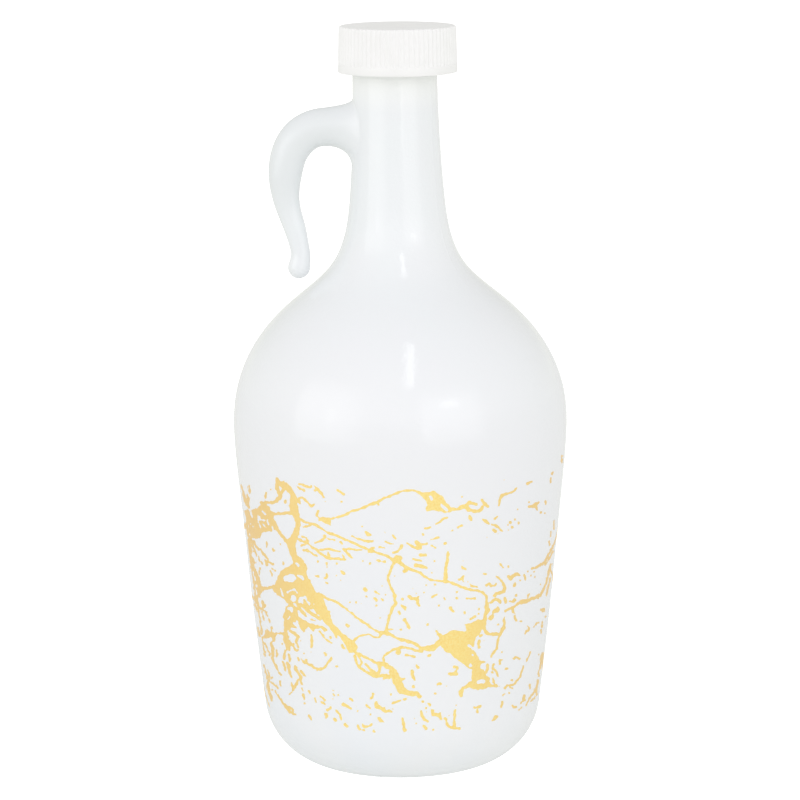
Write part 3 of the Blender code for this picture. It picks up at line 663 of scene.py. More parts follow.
# Wider fields of gold, as outlines of points x,y in pixels of the photograph
FIELDS = """
261,503 264,504 267,511 271,516 275,529 272,531 262,532.5 260,538.5 251,538 249,530 248,522 246,517
244,511 247,509.5 250,511 253,509 258,508 260,505; 293,560 301,557.5 304,561 304,566 307,574 311,583
316,592 320,597 318,600 312,600.5 308,599 305,596 300,596.5 298,600 297,603 293,603 288,600 282,597.5
277,594.5 272,590 274,585.5 277,580 279,573.5 283,569 289,566.5 293,563; 286,608 289,610 291,613 296,610
298,616 294,620 293,624 297,628 291,628 287,631 289,636 288.5,641 291,646 290,651 286,650 285,644 282,640
284,636 280,634 276,634.5 275,642 273,641 271,637 266,638.5 262,638 265,634 266,628 269,631 272,632.5
278,632.5 284,632 284,622 283,615; 296,615 300,618 306,621 310,623 313,624 318,625 324,627 327,631 325,632
321,628.5 315,629 313.5,633.5 311,629 308,626 304,632.5 300,628 298,622 296,617; 318,517 322,516.5 328,518
331,520 330.5,525.5 327,524 322,521.5 318.5,520; 418,492.5 427,492 434,491 439,494.5 443,497 446,502
451,507 455,509 452,511.5 446,512.8 440,511.5 433,510.7 426.5,511 425,508.5 427.5,505.5 426,501 422,497;
344,639 349,640 354,641 356,644 355.5,649 359,654 357,655.5 352,651.5 346,646.5 343.5,641; 439,638 445,634
452,630 458,630.5 465,631.5 467,630 464.5,624.5 470,623.5 476,620.5 478,619 482,620.5 487,619 486,624
482,628 480.5,633 476,637 474.5,644 474,650 477,655 480,660 484,661.5 481,663.5 480,668 484,670 486,675
490,678 489,681 491,684 500,685.5 500,687 489,687 483,689.5 478,690 473,689 468,687.5 464,689 463,696
461,697.5 458,692 462,687 467,683.5 471,681 472,674 472,669.5 467,667.5 460,661.5 453,657 450,653
445,651.5 443.5,648 441,647; 494,609 497,606 501,609.5 498,612 494,613 494,617 491,620 487,619 491,614.5
"""

# Bare places inside the fields, and one island of gold inside a bare place
BARE_SPOTS = """
250.5,512,1.8 252,517,2; 258,515,2 260,520,2; 262,511,1.5 266,514.5,1.5; 258,522,1.2 261,528,1.2;
261.5,522.5,1 266,528,1; 266,520,1.5 269.5,525,1.5; 272,527,1 274,531,1; 256,519.5,1.5 267,520.5,1.5;
251,524,1 252.5,527,1; 296.5,563.5,2.5 298.5,566,2.5; 287,578.5,7 292,578,8; 298,575.5,2 301,577,3.5
303,579,2; 280.5,588.5,1 282,592,2 283,596,1.5; 287.5,592,2 290,591,1.5 294,589.5,2 297,592.5,1.5;
293.5,598.5,6.5; 290,617,1.5; 288,619,1.5; 382,670,2.5 388,670,2.5; 430,496.5,2.5 432,499.5,2.5;
441.5,504.5,2 444,508,3.5 446.5,509.5,3; 468.5,644.5,1.5 471,647,3 473,649,2; 472.5,655,2.5;
470.5,665.5,3.5; 479,682,4 483,681.5,4
"""
ISLANDS = "292,594,2.5 294.5,594,2"

# Veins that carry the print round the sides: points bearing in degrees, height and width in mm
SIDE_VEINS = """
72,84,1 80,87,2 88,90,3 96,92,2 104,94,2; 75,76,1 82,72,1.5 90,66,2.2 98,65,1.5 106,66,1.5; 77,42,1
84,36,1.5 92,30,2 100,27,1.5 106,24,1
"""
PIXEL_STEP = 0.5
PATTERN_LEFT, PATTERN_RIGHT = 225.0, 575.0
PATTERN_TOP, PATTERN_BOTTOM = 446.0, 742.0
LEAST_WIDTH = 1.0
SPREAD = 0.45  # of the ink past the drawn width of a stroke
NOTHING = -4.0
CURVE_STEPS = 5
DRAW_MARGIN = 2.0
LEAST_LENGTH = 1e-9
SEEN_TO = math.radians(81.0)
UNSEEN_FROM = math.radians(84.0)
PIXEL_ON_BODY = 0.355  # millimetres
RAGGED_EDGE = 0.3
RAGGED_WAVES = 36
RAGGED_LENGTHS = (0.9, 3.2)  # millimetres
RAGGED_SEED = 7
LEAST_CROSSING = 0.05  # of a cell's side, between a corner and the print's edge
SHARP_ANGLE = math.radians(30)


def strokes_of(text):
    """The strokes or outlines in a table of the pattern, each as an array with a row per point."""
    rows = [[point.split(",") for point in item.split()] for item in text.split(";") if item.strip()]
    return [np.array(row, float) for row in rows]


def smooth_path(points):
    """The Catmull-Rom curve through the points: between two of them a cubic, whose slope at each is
    half the way from the point before it to the point after it."""
    if len(points) == 1:
        return np.vstack([points, points])
    ends = np.vstack([2 * points[0] - points[1], points, 2 * points[-1] - points[-2]])
    a, b, c, d = (ends[i : len(ends) - 3 + i, None] for i in range(4))
    t = np.linspace(0, 1, CURVE_STEPS, endpoint=False)[None, :, None]
    curve = b + (c - a) * t / 2 + (2 * a - 5 * b + 4 * c - d) * t**2 / 2 + (3 * (b - c) + d - a) * t**3 / 2
    return np.vstack([curve.reshape(-1, points.shape[1]), points[-1:]])


def window(u, v, low, high):
    """The columns and rows of a table whose places (u, v) lie between two corners."""
    return slice(*np.searchsorted(u, [low[0], high[0]])), slice(*np.searchsorted(v, [low[1], high[1]]))


def draw_stroke(depth, u, v, path):
    """Raises depth to how deep each place (u, v) lies in the stroke: at its nearest point along the
    path, half the width less the distance. A piece of the path is drawn in its own small window."""
    for start, end in zip(path[:-1], path[1:]):
        reach = max(start[2], end[2]) / 2 + DRAW_MARGIN
        columns, rows = window(u, v, np.minimum(start, end)[:2] - reach, np.maximum(start, end)[:2] + reach)
        along = end - start
        du, dv = u[None, columns] - start[0], v[rows, None] - start[1]
        length = max(along[0] ** 2 + along[1] ** 2, LEAST_LENGTH)
        t = np.clip((du * along[0] + dv * along[1]) / length, 0, 1)
        inside = (start[2] + along[2] * t) / 2 - np.hypot(du - along[0] * t, dv - along[1] * t)
        depth[rows, columns] = np.maximum(depth[rows, columns], inside)


def draw_field(depth, u, v, outline):
    """Raises depth to how deep each place lies inside a closed outline: the distance to its nearest
    side, and less than nothing where a ray to the right crosses the sides an even number of times."""
    columns, rows = window(u, v, outline.min(axis=0) - DRAW_MARGIN, outline.max(axis=0) + DRAW_MARGIN)
    along = np.roll(outline, -1, axis=0) - outline
    du, dv = u[None, columns, None] - outline[:, 0], v[rows, None, None] - outline[:, 1]
    t = np.clip((du * along[:, 0] + dv * along[:, 1]) / (along**2).sum(axis=1), 0, 1)
    distance = np.hypot(du - along[:, 0] * t, dv - along[:, 1] * t).min(axis=-1)
    crossed = (dv < 0) != (dv < along[:, 1])
    beyond = du < dv * along[:, 0] / np.where(along[:, 1] == 0, 1, along[:, 1])
    inside = (crossed & beyond).sum(axis=-1) % 2 == 1
    depth[rows, columns] = np.maximum(depth[rows, columns], np.where(inside, distance, -distance))


def pattern_depth():
    """How deep each place of the photograph lies in the gold, in pixels, and its columns and rows."""
    u = np.arange(PATTERN_LEFT, PATTERN_RIGHT, PIXEL_STEP)
    v = np.arange(PATTERN_TOP, PATTERN_BOTTOM, PIXEL_STEP)
    gold = np.full((len(v), len(u)), NOTHING)
    bare = gold.copy()
    island = gold.copy()
    veins = (CROWN_VEINS, LEFT_VEINS, CLAW_VEINS, LOWER_LEFT_VEINS, LONG_VEINS, MIDDLE_VEINS, RIGHT_VEINS)
    for table in (*veins, UPPER_FLECKS, MIDDLE_FLECKS, LOWER_FLECKS):
        for points in strokes_of(table):
            points[:, 2] = np.maximum(points[:, 2], LEAST_WIDTH) + SPREAD
            draw_stroke(gold, u, v, smooth_path(points))
    for outline in strokes_of(FIELDS):
        draw_field(gold, u, v, outline)
    for points in strokes_of(BARE_SPOTS):
        draw_stroke(bare, u, v, smooth_path(points))
    for points in strokes_of(ISLANDS):
        draw_stroke(island, u, v, smooth_path(points))
    return np.maximum(np.minimum(gold, -bare), island), u, v


def between(table, u, v, x, y):
    """A table's value at each place (x, y), straight between its four neighbours in u and v."""
    i = (np.clip(x, u[0], u[-2]) - u[0]) / PIXEL_STEP
    j = (np.clip(y, v[0], v[-2]) - v[0]) / PIXEL_STEP
    column, row = i.astype(int), j.astype(int)
    s, t = i - column, j - row
    above = table[row, column] * (1 - s) + table[row, column + 1] * s
    below = table[row + 1, column] * (1 - s) + table[row + 1, column + 1] * s
    return above * (1 - t) + below * t


def ragged(bearing, z):
    """Unevenness of the print's edge, about 1 high: a sum of waves in seeded directions over the
    glass, each with an even number of periods round it, so that the back repeats the front."""
    draw = np.random.RandomState(RAGGED_SEED)
    total = 0 * bearing * z
    for _ in range(RAGGED_WAVES):
        wave = 2 * np.pi / (draw.uniform(*RAGGED_LENGTHS) * MM)
        way, phase = draw.uniform(0, np.pi), draw.uniform(0, 2 * np.pi)
        periods = 2 * round(wave * math.cos(way) * MEAN_RADIUS / 2)
        total = total + np.sin(periods * bearing + wave * math.sin(way) * z + phase)
    return total / math.sqrt(RAGGED_WAVES / 2)


def print_depth():
    """Bearings and heights of the print's nodes, and how deep each lies in the gold, in pixels.

    A node in the camera's sight is looked up in the pattern at its own pixel. Past that the veins of
    the sides take over, half a turn apart, so that the print can be repeated round the back.
    """
    columns = round(np.pi * MEAN_RADIUS / FOIL_CELL)
    rows = round((FOIL_TOP - FOIL_BOTTOM) / FOIL_CELL)
    bearing = np.linspace(-np.pi / 2, np.pi / 2, columns + 1)
    z = np.linspace(FOIL_BOTTOM, FOIL_TOP, rows + 1)
    pattern, u, v = pattern_depth()
    x, y = photo_pixels(skin(bearing[None, :], z[:, None]))
    depth = between(pattern, u, v, x, y)
    out_of_sight = smooth_step(SEEN_TO, UNSEEN_FROM, np.abs(bearing))
    depth = np.maximum(depth + out_of_sight * NOTHING, NOTHING)
    sides = np.full(depth.shape, NOTHING)
    across = bearing * MEAN_RADIUS / MM
    for points in strokes_of(SIDE_VEINS):
        for half_turn in (0, 180):
            path = points.copy()
            path[:, 0] = np.radians(points[:, 0] - half_turn) * MEAN_RADIUS / MM
            draw_stroke(sides, across, z / MM, smooth_path(path))
    depth = np.maximum(depth, sides / PIXEL_ON_BODY)
    return bearing, z, depth + RAGGED_EDGE * ragged(bearing[None, :], z[:, None])


def gold_faces(depth):
    """Marching squares on the nodes' depth: for each point its row and column, and the faces.

    A cell has eight stations: its corners and, between them, the places on its sides where the
    depth passes 0, straight between two corners. Its face joins the corners that are in the gold
    and the places on its sides, in order.
    """
    inside = depth > 0
    row, column = np.nonzero(inside)
    places = [np.stack([row, column], axis=1).astype(float)]
    corner = np.full(depth.shape, -1)
    corner[inside] = np.arange(len(row))
    count = len(row)
    crossings = []
    for axis in (1, 0):
        first, second = (depth[:, :-1], depth[:, 1:]) if axis else (depth[:-1], depth[1:])
        crossed = (first > 0) != (second > 0)
        row, column = np.nonzero(crossed)
        part = first[crossed] / (first[crossed] - second[crossed])
        part = np.clip(part, LEAST_CROSSING, 1 - LEAST_CROSSING)
        place = np.stack([row, column], axis=1).astype(float)
        place[:, axis] += part
        numbers = np.full(first.shape, -1)
        numbers[crossed] = count + np.arange(len(row))
        count += len(row)
        places.append(place)
        crossings.append(numbers)
    flat, upright = crossings
    stations = np.stack([
        corner[:-1, :-1], flat[:-1], corner[:-1, 1:], upright[:, 1:],
        corner[1:, 1:], flat[1:], corner[1:, :-1], upright[:, :-1],
    ], axis=-1).reshape(-1, 8)
    used = stations >= 0
    sides = used.sum(axis=1)
    faces = []
    for kind in np.unique(used[sides > 0], axis=0):
        same = (used == kind).all(axis=1)
        faces.append(stations[same][:, kind])
    return np.concatenate(places), faces


def make_print(name, turn):
    """One half of the gold print, turned about the axis: a closed foil whose outer skin lies just
    over the glass and whose inner skin lies just inside it, with walls round every edge."""
    bearing, z, depth = print_depth()
    places, faces = gold_faces(depth)
    bearings = bearing[0] + places[:, 1] * (bearing[1] - bearing[0]) + turn
    heights = z[0] + places[:, 0] * (z[1] - z[0])
    points = np.concatenate([skin(bearings, heights, FOIL_LIFT), skin(bearings, heights, FOIL_SINK)])
    count = len(places)
    sides = np.concatenate([
        np.stack([face[:, k], face[:, (k + 1) % face.shape[1]]], axis=1)
        for face in faces for k in range(face.shape[1])
    ])
    edge = sides[~np.isin(sides[:, 0] * count + sides[:, 1], sides[:, 1] * count + sides[:, 0])]
    walls = np.stack([edge[:, 1], edge[:, 0], edge[:, 0] + count, edge[:, 1] + count], axis=1)
    made = put_mesh(name, points, *faces, *[face[:, ::-1] + count for face in faces], walls)
    made.data.set_sharp_from_angle(angle=SHARP_ANGLE)
    return made


# Camera

def camera_axes():
    """Right, up and ahead of the camera: pitched down towards the bottle, then rolled about its view."""
    ahead = np.array([0, math.cos(CAMERA_PITCH), -math.sin(CAMERA_PITCH)])
    up = np.array([0, math.sin(CAMERA_PITCH), math.cos(CAMERA_PITCH)])
    right = np.array([1.0, 0, 0])
    cos, sin = math.cos(CAMERA_ROLL), math.sin(CAMERA_ROLL)
    return right * cos - up * sin, up * cos + right * sin, ahead


def photo_pixels(points):
    """Where points fall in the photograph, in pixels: right and down from the top left corner."""
    right, up, ahead = camera_axes()
    seen = points - CAMERA_PLACE
    depth = seen @ ahead
    middle = PHOTO_SIZE / 2
    return middle + FOCAL_PIXELS * (seen @ right) / depth, middle - FOCAL_PIXELS * (seen @ up) / depth


def make_camera():
    """The camera of the photograph."""
    data = bpy.data.cameras.new("camera")
    data.sensor_width = SENSOR_WIDTH
    data.lens = FOCAL_PIXELS * SENSOR_WIDTH / PHOTO_SIZE
    data.clip_end = CLIP_END
    camera = bpy.data.objects.new("camera", data)
    right, up, ahead = camera_axes()
    matrix = np.eye(4)
    matrix[:3, 0], matrix[:3, 1], matrix[:3, 2], matrix[:3, 3] = right, up, -ahead, CAMERA_PLACE
    camera.matrix_world = Matrix(matrix)
    bpy.context.scene.collection.objects.link(camera)
    bpy.context.scene.camera = camera


# Materials

def add_node(tree, kind, values=(), **settings):
    """A node with its settings, and values for its inputs by name: a socket is linked, or else set."""
    made = tree.nodes.new(kind)
    for name, value in settings.items():
        setattr(made, name, value)
    for name, value in dict(values).items():
        if isinstance(value, bpy.types.NodeSocket):
            tree.links.new(value, made.inputs[name])
        else:
            made.inputs[name].default_value = value
    return made


def calculate(tree, operation, first, second=0.0):
    """The result of arithmetic on two values, each a socket or a number."""
    return add_node(tree, "ShaderNodeMath", {0: first, 1: second}, operation=operation).outputs[0]


def map_range(tree, value, from_low, from_high, to_low, to_high, kind="LINEAR"):
    """A value carried from one range to another, and kept inside it."""
    ends = {"From Min": from_low, "From Max": from_high, "To Min": to_low, "To Max": to_high}
    made = add_node(tree, "ShaderNodeMapRange", {"Value": value, **ends}, interpolation_type=kind)
    return made.outputs["Result"]


def blend_colours(tree, part, first, second):
    """The mix of two colours, each a socket or three numbers, by a part from 0 to 1."""
    mix = tree.nodes.new("ShaderNodeMix")
    mix.data_type = "RGBA"
    for socket, value in ((mix.inputs[0], part), (mix.inputs[6], first), (mix.inputs[7], second)):
        if isinstance(value, bpy.types.NodeSocket):
            tree.links.new(value, socket)
        else:
            socket.default_value = value if isinstance(value, float) else (*value, 1)
    return mix.outputs[2]


def unevenness_group():
    """Slow clouds and fine grain on Object coordinates, each from 0 to 1, at sizes given in metres,
    and the height and the distance from the middle plane."""
    group = bpy.data.node_groups.new("surface_unevenness", "ShaderNodeTree")
    for name in ("Cloud Size", "Grain Size", "Stretch"):
        group.interface.new_socket(name, in_out="INPUT", socket_type="NodeSocketFloat")
    for name in ("Cloud", "Grain", "Height", "Aside"):
        group.interface.new_socket(name, in_out="OUTPUT", socket_type="NodeSocketFloat")
    inputs = add_node(group, "NodeGroupInput").outputs
    place = add_node(group, "ShaderNodeTexCoord").outputs["Object"]
    split = add_node(group, "ShaderNodeSeparateXYZ", {"Vector": place}).outputs
    squeezed = calculate(group, "DIVIDE", split["Z"], inputs["Stretch"])
    around = {"X": split["X"], "Y": split["Y"], "Z": squeezed}
    stretched = add_node(group, "ShaderNodeCombineXYZ", around).outputs["Vector"]
    results = []
    for size, where, detail in (("Cloud Size", stretched, CLOUD_DETAIL), ("Grain Size", place, GRAIN_DETAIL)):
        scale = calculate(group, "DIVIDE", 1.0, inputs[size])
        noise = {"Vector": where, "Scale": scale, "Detail": detail, "Roughness": NOISE_ROUGHNESS}
        value = add_node(group, "ShaderNodeTexNoise", noise).outputs["Fac"]
        results.append(map_range(group, value, *NOISE_SPAN, 0.0, 1.0, "SMOOTHSTEP"))
    aside = calculate(group, "ABSOLUTE", split["X"])
    results = {"Cloud": results[0], "Grain": results[1], "Height": split["Z"], "Aside": aside}
    add_node(group, "NodeGroupOutput", results)
    return group


def new_material(name, group, sizes, **constants):
    """A material with its Principled shader and the unevenness group at this material's sizes: of a
    cloud and a grain in metres, and the clouds' stretch upwards."""
    made = bpy.data.materials.new(name)
    made.use_nodes = True
    tree = made.node_tree
    shader = tree.nodes["Principled BSDF"]
    for socket, value in constants.items():
        shader.inputs[socket.replace("_", " ")].default_value = value
    uneven = add_node(tree, "ShaderNodeGroup", node_tree=group)
    for socket, value in zip(("Cloud Size", "Grain Size", "Stretch"), sizes):
        uneven.inputs[socket].default_value = value
    return made, tree, shader, uneven.outputs


def add_bump(tree, shader, height, distance, strength):
    """A bump of that height map, in metres, on the shader's normal."""
    values = {"Height": height, "Distance": distance, "Strength": strength}
    tree.links.new(add_node(tree, "ShaderNodeBump", values).outputs["Normal"], shader.inputs["Normal"])


def make_white_glass(group):
    """Opal glass: near white, a touch cooler towards the base, glossy above and satin below, with the
    handle duller and greyer, and painted light that lightens the glass under the cap against the cap's shade."""
    made, tree, shader, uneven = new_material("white_glass", group, GLASS_SIZES, IOR=GLASS_INDEX)
    height = uneven["Height"]
    body = blend_colours(tree, map_range(tree, height, *LOW_HEIGHTS, 0.0, 1.0), GLASS_LOW, GLASS_BODY)
    whole = blend_colours(tree, map_range(tree, height, *HIGH_HEIGHTS, 0.0, 1.0), body, GLASS_NECK)
    mottle_and_painted_light = blend_colours(tree, uneven["Cloud"], whole, GLASS_MILK)
    # painted light: the glass from 14 mm to 2 mm below the cap is lightened against the shade the cap casts
    painted_light_near_cap = map_range(tree, height, *PAINTED_LIGHT_UNDER_CAP_HEIGHTS, 0.0, 1.0)
    mottle_and_painted_light = blend_colours(tree, painted_light_near_cap, mottle_and_painted_light, GLASS_PAINTED_LIGHT_UNDER_CAP)
    on_hook = add_node(tree, "ShaderNodeAttribute", attribute_name=HOOK_MASK).outputs["Fac"]
    tree.links.new(blend_colours(tree, on_hook, mottle_and_painted_light, GLASS_HOOK), shader.inputs["Base Color"])
    gloss = map_range(tree, height, *GLOSS_HEIGHTS, *GLASS_ROUGHNESS, "SMOOTHSTEP")
    cloudy = map_range(tree, uneven["Cloud"], 0.0, 1.0, -GLASS_CLOUDINESS, GLASS_CLOUDINESS)
    dull = map_range(tree, on_hook, 0.0, 1.0, 0.0, HOOK_DULLNESS)
    rough = calculate(tree, "ADD", calculate(tree, "ADD", gloss, cloudy), dull)
    tree.links.new(rough, shader.inputs["Roughness"])
    add_bump(tree, shader, uneven["Grain"], *GLASS_BUMP)
    return made


def make_cap_plastic(group):
    """Moulded polypropylene: warm white, satin, with fine moulding grain."""
    gloss = {"Specular_IOR_Level": CAP_SPECULAR}
    made, tree, shader, uneven = new_material("cap_plastic", group, CAP_SIZES, **gloss)
    tree.links.new(blend_colours(tree, uneven["Cloud"], CAP_WHITE, CAP_CREAM), shader.inputs["Base Color"])
    tree.links.new(map_range(tree, uneven["Grain"], 0.0, 1.0, *CAP_ROUGHNESS), shader.inputs["Roughness"])
    add_bump(tree, shader, uneven["Grain"], *CAP_BUMP)
    return made


def make_gold_print(group):
    """Metallic gold ink: fine flakes between a deep and a pale gold, with slow patches of wear, and
    a painted shade that deepens its tone towards the sides, where the light falls off."""
    made, tree, shader, uneven = new_material("gold_print", group, GOLD_SIZES, Metallic=GOLD_METALLIC)
    flakes = blend_colours(tree, uneven["Grain"], GOLD_DEEP, GOLD_PALE)
    wear = map_range(tree, uneven["Cloud"], WEAR_START, 1.0, 0.0, WEAR_MOST)
    worn = blend_colours(tree, wear, flakes, GOLD_WARM)
    # painted shade: the gold darkens towards the sides, away from the middle plane
    aside = map_range(tree, uneven["Aside"], *PAINTED_SIDE_SHADE_SPAN, 0.0, 1.0)
    tree.links.new(blend_colours(tree, aside, worn, GOLD_PAINTED_SIDE_SHADE), shader.inputs["Base Color"])
    tree.links.new(map_range(tree, uneven["Grain"], 0.0, 1.0, *GOLD_ROUGHNESS), shader.inputs["Roughness"])
    add_bump(tree, shader, uneven["Grain"], *GOLD_BUMP)
    return made


# Colours as linear light
GLASS_LOW = (0.86, 0.895, 0.94)
GLASS_BODY = (0.897, 0.907, 0.936)
GLASS_NECK = (0.897, 0.934, 0.945)
GLASS_MILK = (0.903, 0.915, 0.935)
GLASS_HOOK = (0.828, 0.858, 0.868)
# painted light on the glass just under the cap
GLASS_PAINTED_LIGHT_UNDER_CAP = (0.985, 1.0, 0.985)
CAP_WHITE = (0.965, 0.965, 0.96)
CAP_CREAM = (0.935, 0.935, 0.925)
GOLD_DEEP = (0.98, 0.72, 0.225)
GOLD_PALE = (1.0, 0.825, 0.35)
GOLD_WARM = (0.99, 0.785, 0.295)
# painted shade of the gold towards the sides
GOLD_PAINTED_SIDE_SHADE = (0.93, 0.665, 0.30)

# Unevenness: sizes of cloud and grain in metres and stretch upwards, and the noise behind them
GLASS_SIZES = (0.05, 0.0015, 1.6)
CAP_SIZES = (0.012, 0.0012, 1.0)
GOLD_SIZES = (0.008, 0.0007, 1.0)
CLOUD_DETAIL = 3.0
GRAIN_DETAIL = 2.0
NOISE_ROUGHNESS = 0.55
NOISE_SPAN = (0.22, 0.78)

# Finish: heights in metres, roughness, and bumps as a depth in metres and a strength
GLASS_INDEX = 1.5
LOW_HEIGHTS = (0.0, 0.11)
HIGH_HEIGHTS = (0.13, 0.18)
# where the painted light under the cap fades in
PAINTED_LIGHT_UNDER_CAP_HEIGHTS = (CAP_BOTTOM - 0.014, CAP_BOTTOM - 0.002)
GLOSS_HEIGHTS = (0.08, 0.14)
GLASS_ROUGHNESS = (0.245, 0.065)  # below and above
GLASS_CLOUDINESS = 0.018
HOOK_DULLNESS = 0.15
GLASS_BUMP = (0.00004, 0.5)
CAP_SPECULAR = 0.3
CAP_ROUGHNESS = (0.43, 0.51)
CAP_BUMP = (0.000004, 0.4)
GOLD_METALLIC = 0.5
WEAR_START = 0.35
WEAR_MOST = 0.6
PAINTED_SIDE_SHADE_SPAN = (0.022, 0.058)  # metres from the middle plane, over which the gold's painted side shade comes in
GOLD_ROUGHNESS = (0.38, 0.52)
GOLD_BUMP = (0.00003, 0.5)

# Studio: azimuth and elevation from the bottle in degrees, 0 towards the camera and minus to the left
LIGHT_TARGET = np.array([0, 0, 0.17])
LIGHT_DISTANCE = 1.1
LIGHTS = (  # name, azimuth, elevation, shift to its right, shift up, width, height, radiance, soft edges
    ("softbox_left", -48.5, 0.0, 0.0, 0.22, 1.28, 1.32, 0.86, (0.12, 0.45, 0.34, 0.36)),
    ("softbox_right", 35.0, 0.0, 0.05, 0.19, 1.12, 1.18, 0.78, (0.16, 0.3, 0.34, 0.36)),
    ("strip_light", 0.0, 52.5, 0.12, 0.0, 0.12, 0.70, 2.35, (0.1, 0.1, 0.03, 0.03)),
    ("core_left", -48.0, 9.0, 0.0, 0.0, 0.16, 0.34, 0.9, (0.5, 0.5, 0.5, 0.5)),
    ("core_right", 35.0, 19.5, 0.0, 0.0, 0.36, 0.16, 1.7, (0.4, 0.4, 0.4, 0.4)),
    ("core_low", 16.5, 0.5, 0.0, 0.0, 0.12, 0.12, 1.4, (0.4, 0.4, 0.4, 0.4)),
)
SURROUND_FRONT = 1.485
SURROUND_BACK = 0.65
SURROUND_LEFT = 0.10  # more on the left than in the middle, where it is high
SURROUND_LEFT_LOW = 0.1  # the part of it that is left at the horizon
SURROUND_TOP = 0.66
SURROUND_TOP_START = 0.2  # how far up the surround darkens from
TOP_TINT_START = 0.3
SURROUND_HORIZON = 0.9
HORIZON_BLEND = 0.25
SURROUND_TINT_FRONT = (1.0, 0.985, 1.02)
SURROUND_TINT_BACK = (0.985, 1.0, 0.91)
SURROUND_TINT_TOP = (1.0, 0.99, 1.005)
TABLE_GLOW = 0.42
TABLE_GLOW_SEEN = 0.9
TABLE_ALBEDO = 0.5
TABLE_TINT = (0.99, 1.0, 0.965)
FLOOR_HALF_WIDTH = 25.0


def add_light(name, azimuth, elevation, aside, above, width, height, radiance, soft_edges):
    """A rectangular light at LIGHT_DISTANCE that faces the bottle and shows in its gloss. Its watts
    are the radiance times pi times its area. It fades out over the part of its width or height that
    soft_edges gives for its left, right, lower and upper edge."""
    data = bpy.data.lights.new(name, "AREA")
    data.shape = "RECTANGLE"
    data.size, data.size_y = width, height
    data.energy = radiance * math.pi * width * height
    a, e = math.radians(azimuth), math.radians(elevation)
    back = np.array([math.sin(a) * math.cos(e), -math.cos(a) * math.cos(e), math.sin(e)])
    right = np.array([math.cos(a), math.sin(a), 0])
    up = np.cross(back, right)
    matrix = np.eye(4)
    matrix[:3, 0], matrix[:3, 1], matrix[:3, 2] = right, up, back
    matrix[:3, 3] = LIGHT_TARGET + back * LIGHT_DISTANCE + right * aside + up * above
    data.use_nodes = True
    tree = data.node_tree
    tree.nodes.clear()
    place = add_node(tree, "ShaderNodeNewGeometry").outputs["Parametric"]
    place = add_node(tree, "ShaderNodeSeparateXYZ", {"Vector": place}).outputs
    strength = 1.0
    for axis, edges in (("X", soft_edges[:2]), ("Y", soft_edges[2:])):
        for edge, inside in ((0.0, edges[0]), (1.0, 1.0 - edges[1])):
            lit = map_range(tree, place[axis], edge, inside, 0.0, 1.0, "SMOOTHSTEP")
            strength = calculate(tree, "MULTIPLY", strength, lit)
    glow = add_node(tree, "ShaderNodeEmission", {"Color": (1, 1, 1, 1), "Strength": strength})
    add_node(tree, "ShaderNodeOutputLight", {"Surface": glow.outputs[0]})
    light = bpy.data.objects.new(name, data)
    light.matrix_world = Matrix(matrix)
    light.visible_diffuse = False
    bpy.context.scene.collection.objects.link(light)


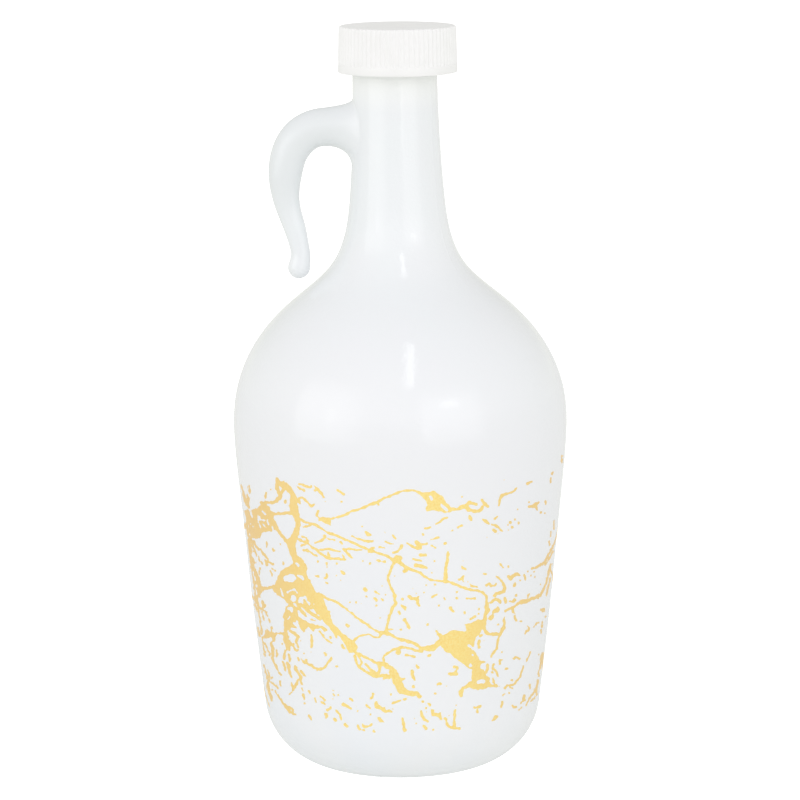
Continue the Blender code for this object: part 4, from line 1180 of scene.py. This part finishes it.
def make_world():
    """A soft studio surround, brightest in front and high on the left, which the camera sees as white."""
    world = bpy.data.worlds.new("studio")
    world.use_nodes = True
    tree = world.node_tree
    tree.nodes.clear()
    way = add_node(tree, "ShaderNodeTexCoord").outputs["Generated"]
    way = add_node(tree, "ShaderNodeSeparateXYZ", {"Vector": way}).outputs
    ahead = map_range(tree, way["Y"], -1.0, 1.0, SURROUND_FRONT, SURROUND_BACK)
    aside = map_range(tree, way["X"], -1.0, 1.0, SURROUND_LEFT, -SURROUND_LEFT)
    high = map_range(tree, way["Z"], 0.0, 1.0, SURROUND_LEFT_LOW, 1.0)
    level = calculate(tree, "ADD", ahead, calculate(tree, "MULTIPLY", aside, high))
    above = map_range(tree, way["Z"], SURROUND_TOP_START, 1.0, 1.0, SURROUND_TOP)
    lit = calculate(tree, "MULTIPLY", level, above)
    risen = map_range(tree, way["Z"], 0.0, HORIZON_BLEND, 0.0, 1.0, "SMOOTHSTEP")
    lit = add_node(tree, "ShaderNodeMix", {0: risen, 2: SURROUND_HORIZON, 3: lit}).outputs[0]
    to_camera = add_node(tree, "ShaderNodeLightPath").outputs["Is Camera Ray"]
    strength = calculate(tree, "MAXIMUM", lit, to_camera)
    behind = map_range(tree, way["Y"], -1.0, 1.0, 0.0, 1.0)
    tint = blend_colours(tree, behind, SURROUND_TINT_FRONT, SURROUND_TINT_BACK)
    upwards = map_range(tree, way["Z"], TOP_TINT_START, 1.0, 0.0, 1.0)
    tint = blend_colours(tree, upwards, tint, SURROUND_TINT_TOP)
    surround = add_node(tree, "ShaderNodeBackground", {"Color": tint, "Strength": strength})
    add_node(tree, "ShaderNodeOutputWorld", {"Surface": surround.outputs[0]})
    bpy.context.scene.world = world


def make_floor():
    """A wide pale table lit from below, brighter for the camera, as the photograph is exposed."""
    corners = np.array([[-1, -1, 0], [1, -1, 0], [1, 1, 0], [-1, 1, 0]]) * FLOOR_HALF_WIDTH
    floor = put_mesh("floor", corners, np.array([[0, 1, 2, 3]]))
    made = bpy.data.materials.new("light_table")
    made.use_nodes = True
    tree = made.node_tree
    tree.nodes.clear()
    to_camera = add_node(tree, "ShaderNodeLightPath").outputs["Is Camera Ray"]
    strength = map_range(tree, to_camera, 0.0, 1.0, TABLE_GLOW, TABLE_GLOW_SEEN)
    tint = blend_colours(tree, to_camera, TABLE_TINT, (1.0, 1.0, 1.0))
    glow = add_node(tree, "ShaderNodeEmission", {"Color": tint, "Strength": strength})
    albedo = [TABLE_ALBEDO * part for part in TABLE_TINT]
    paper = add_node(tree, "ShaderNodeBsdfDiffuse", {"Color": (*albedo, 1)})
    both = add_node(tree, "ShaderNodeAddShader", {0: glow.outputs[0], 1: paper.outputs[0]})
    add_node(tree, "ShaderNodeOutputMaterial", {"Surface": both.outputs[0]})
    floor.data.materials.append(made)


def finish_piece(piece, material):
    """Puts a material on a piece, and makes it ride on the bottle and take its finish from a slot."""
    piece.data.materials.append(material)
    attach(piece, BODY)


def main():
    """Builds the studio, then the glass, the cap and the two halves of the print."""
    bpy.context.scene.view_settings.view_transform = "Standard"
    make_camera()
    make_world()
    make_floor()
    for light in LIGHTS:
        add_light(*light)
    group = unevenness_group()
    glass = make_glass()
    finish_piece(glass, make_white_glass(group))
    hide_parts("bottle")
    cap = make_cap()
    finish_piece(cap, make_cap_plastic(group))
    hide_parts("cap")
    gold = make_gold_print(group)
    for name, turn in (("gold_print_front", 0.0), ("gold_print_back", np.pi)):
        finish_piece(make_print(name, turn), gold)


main()
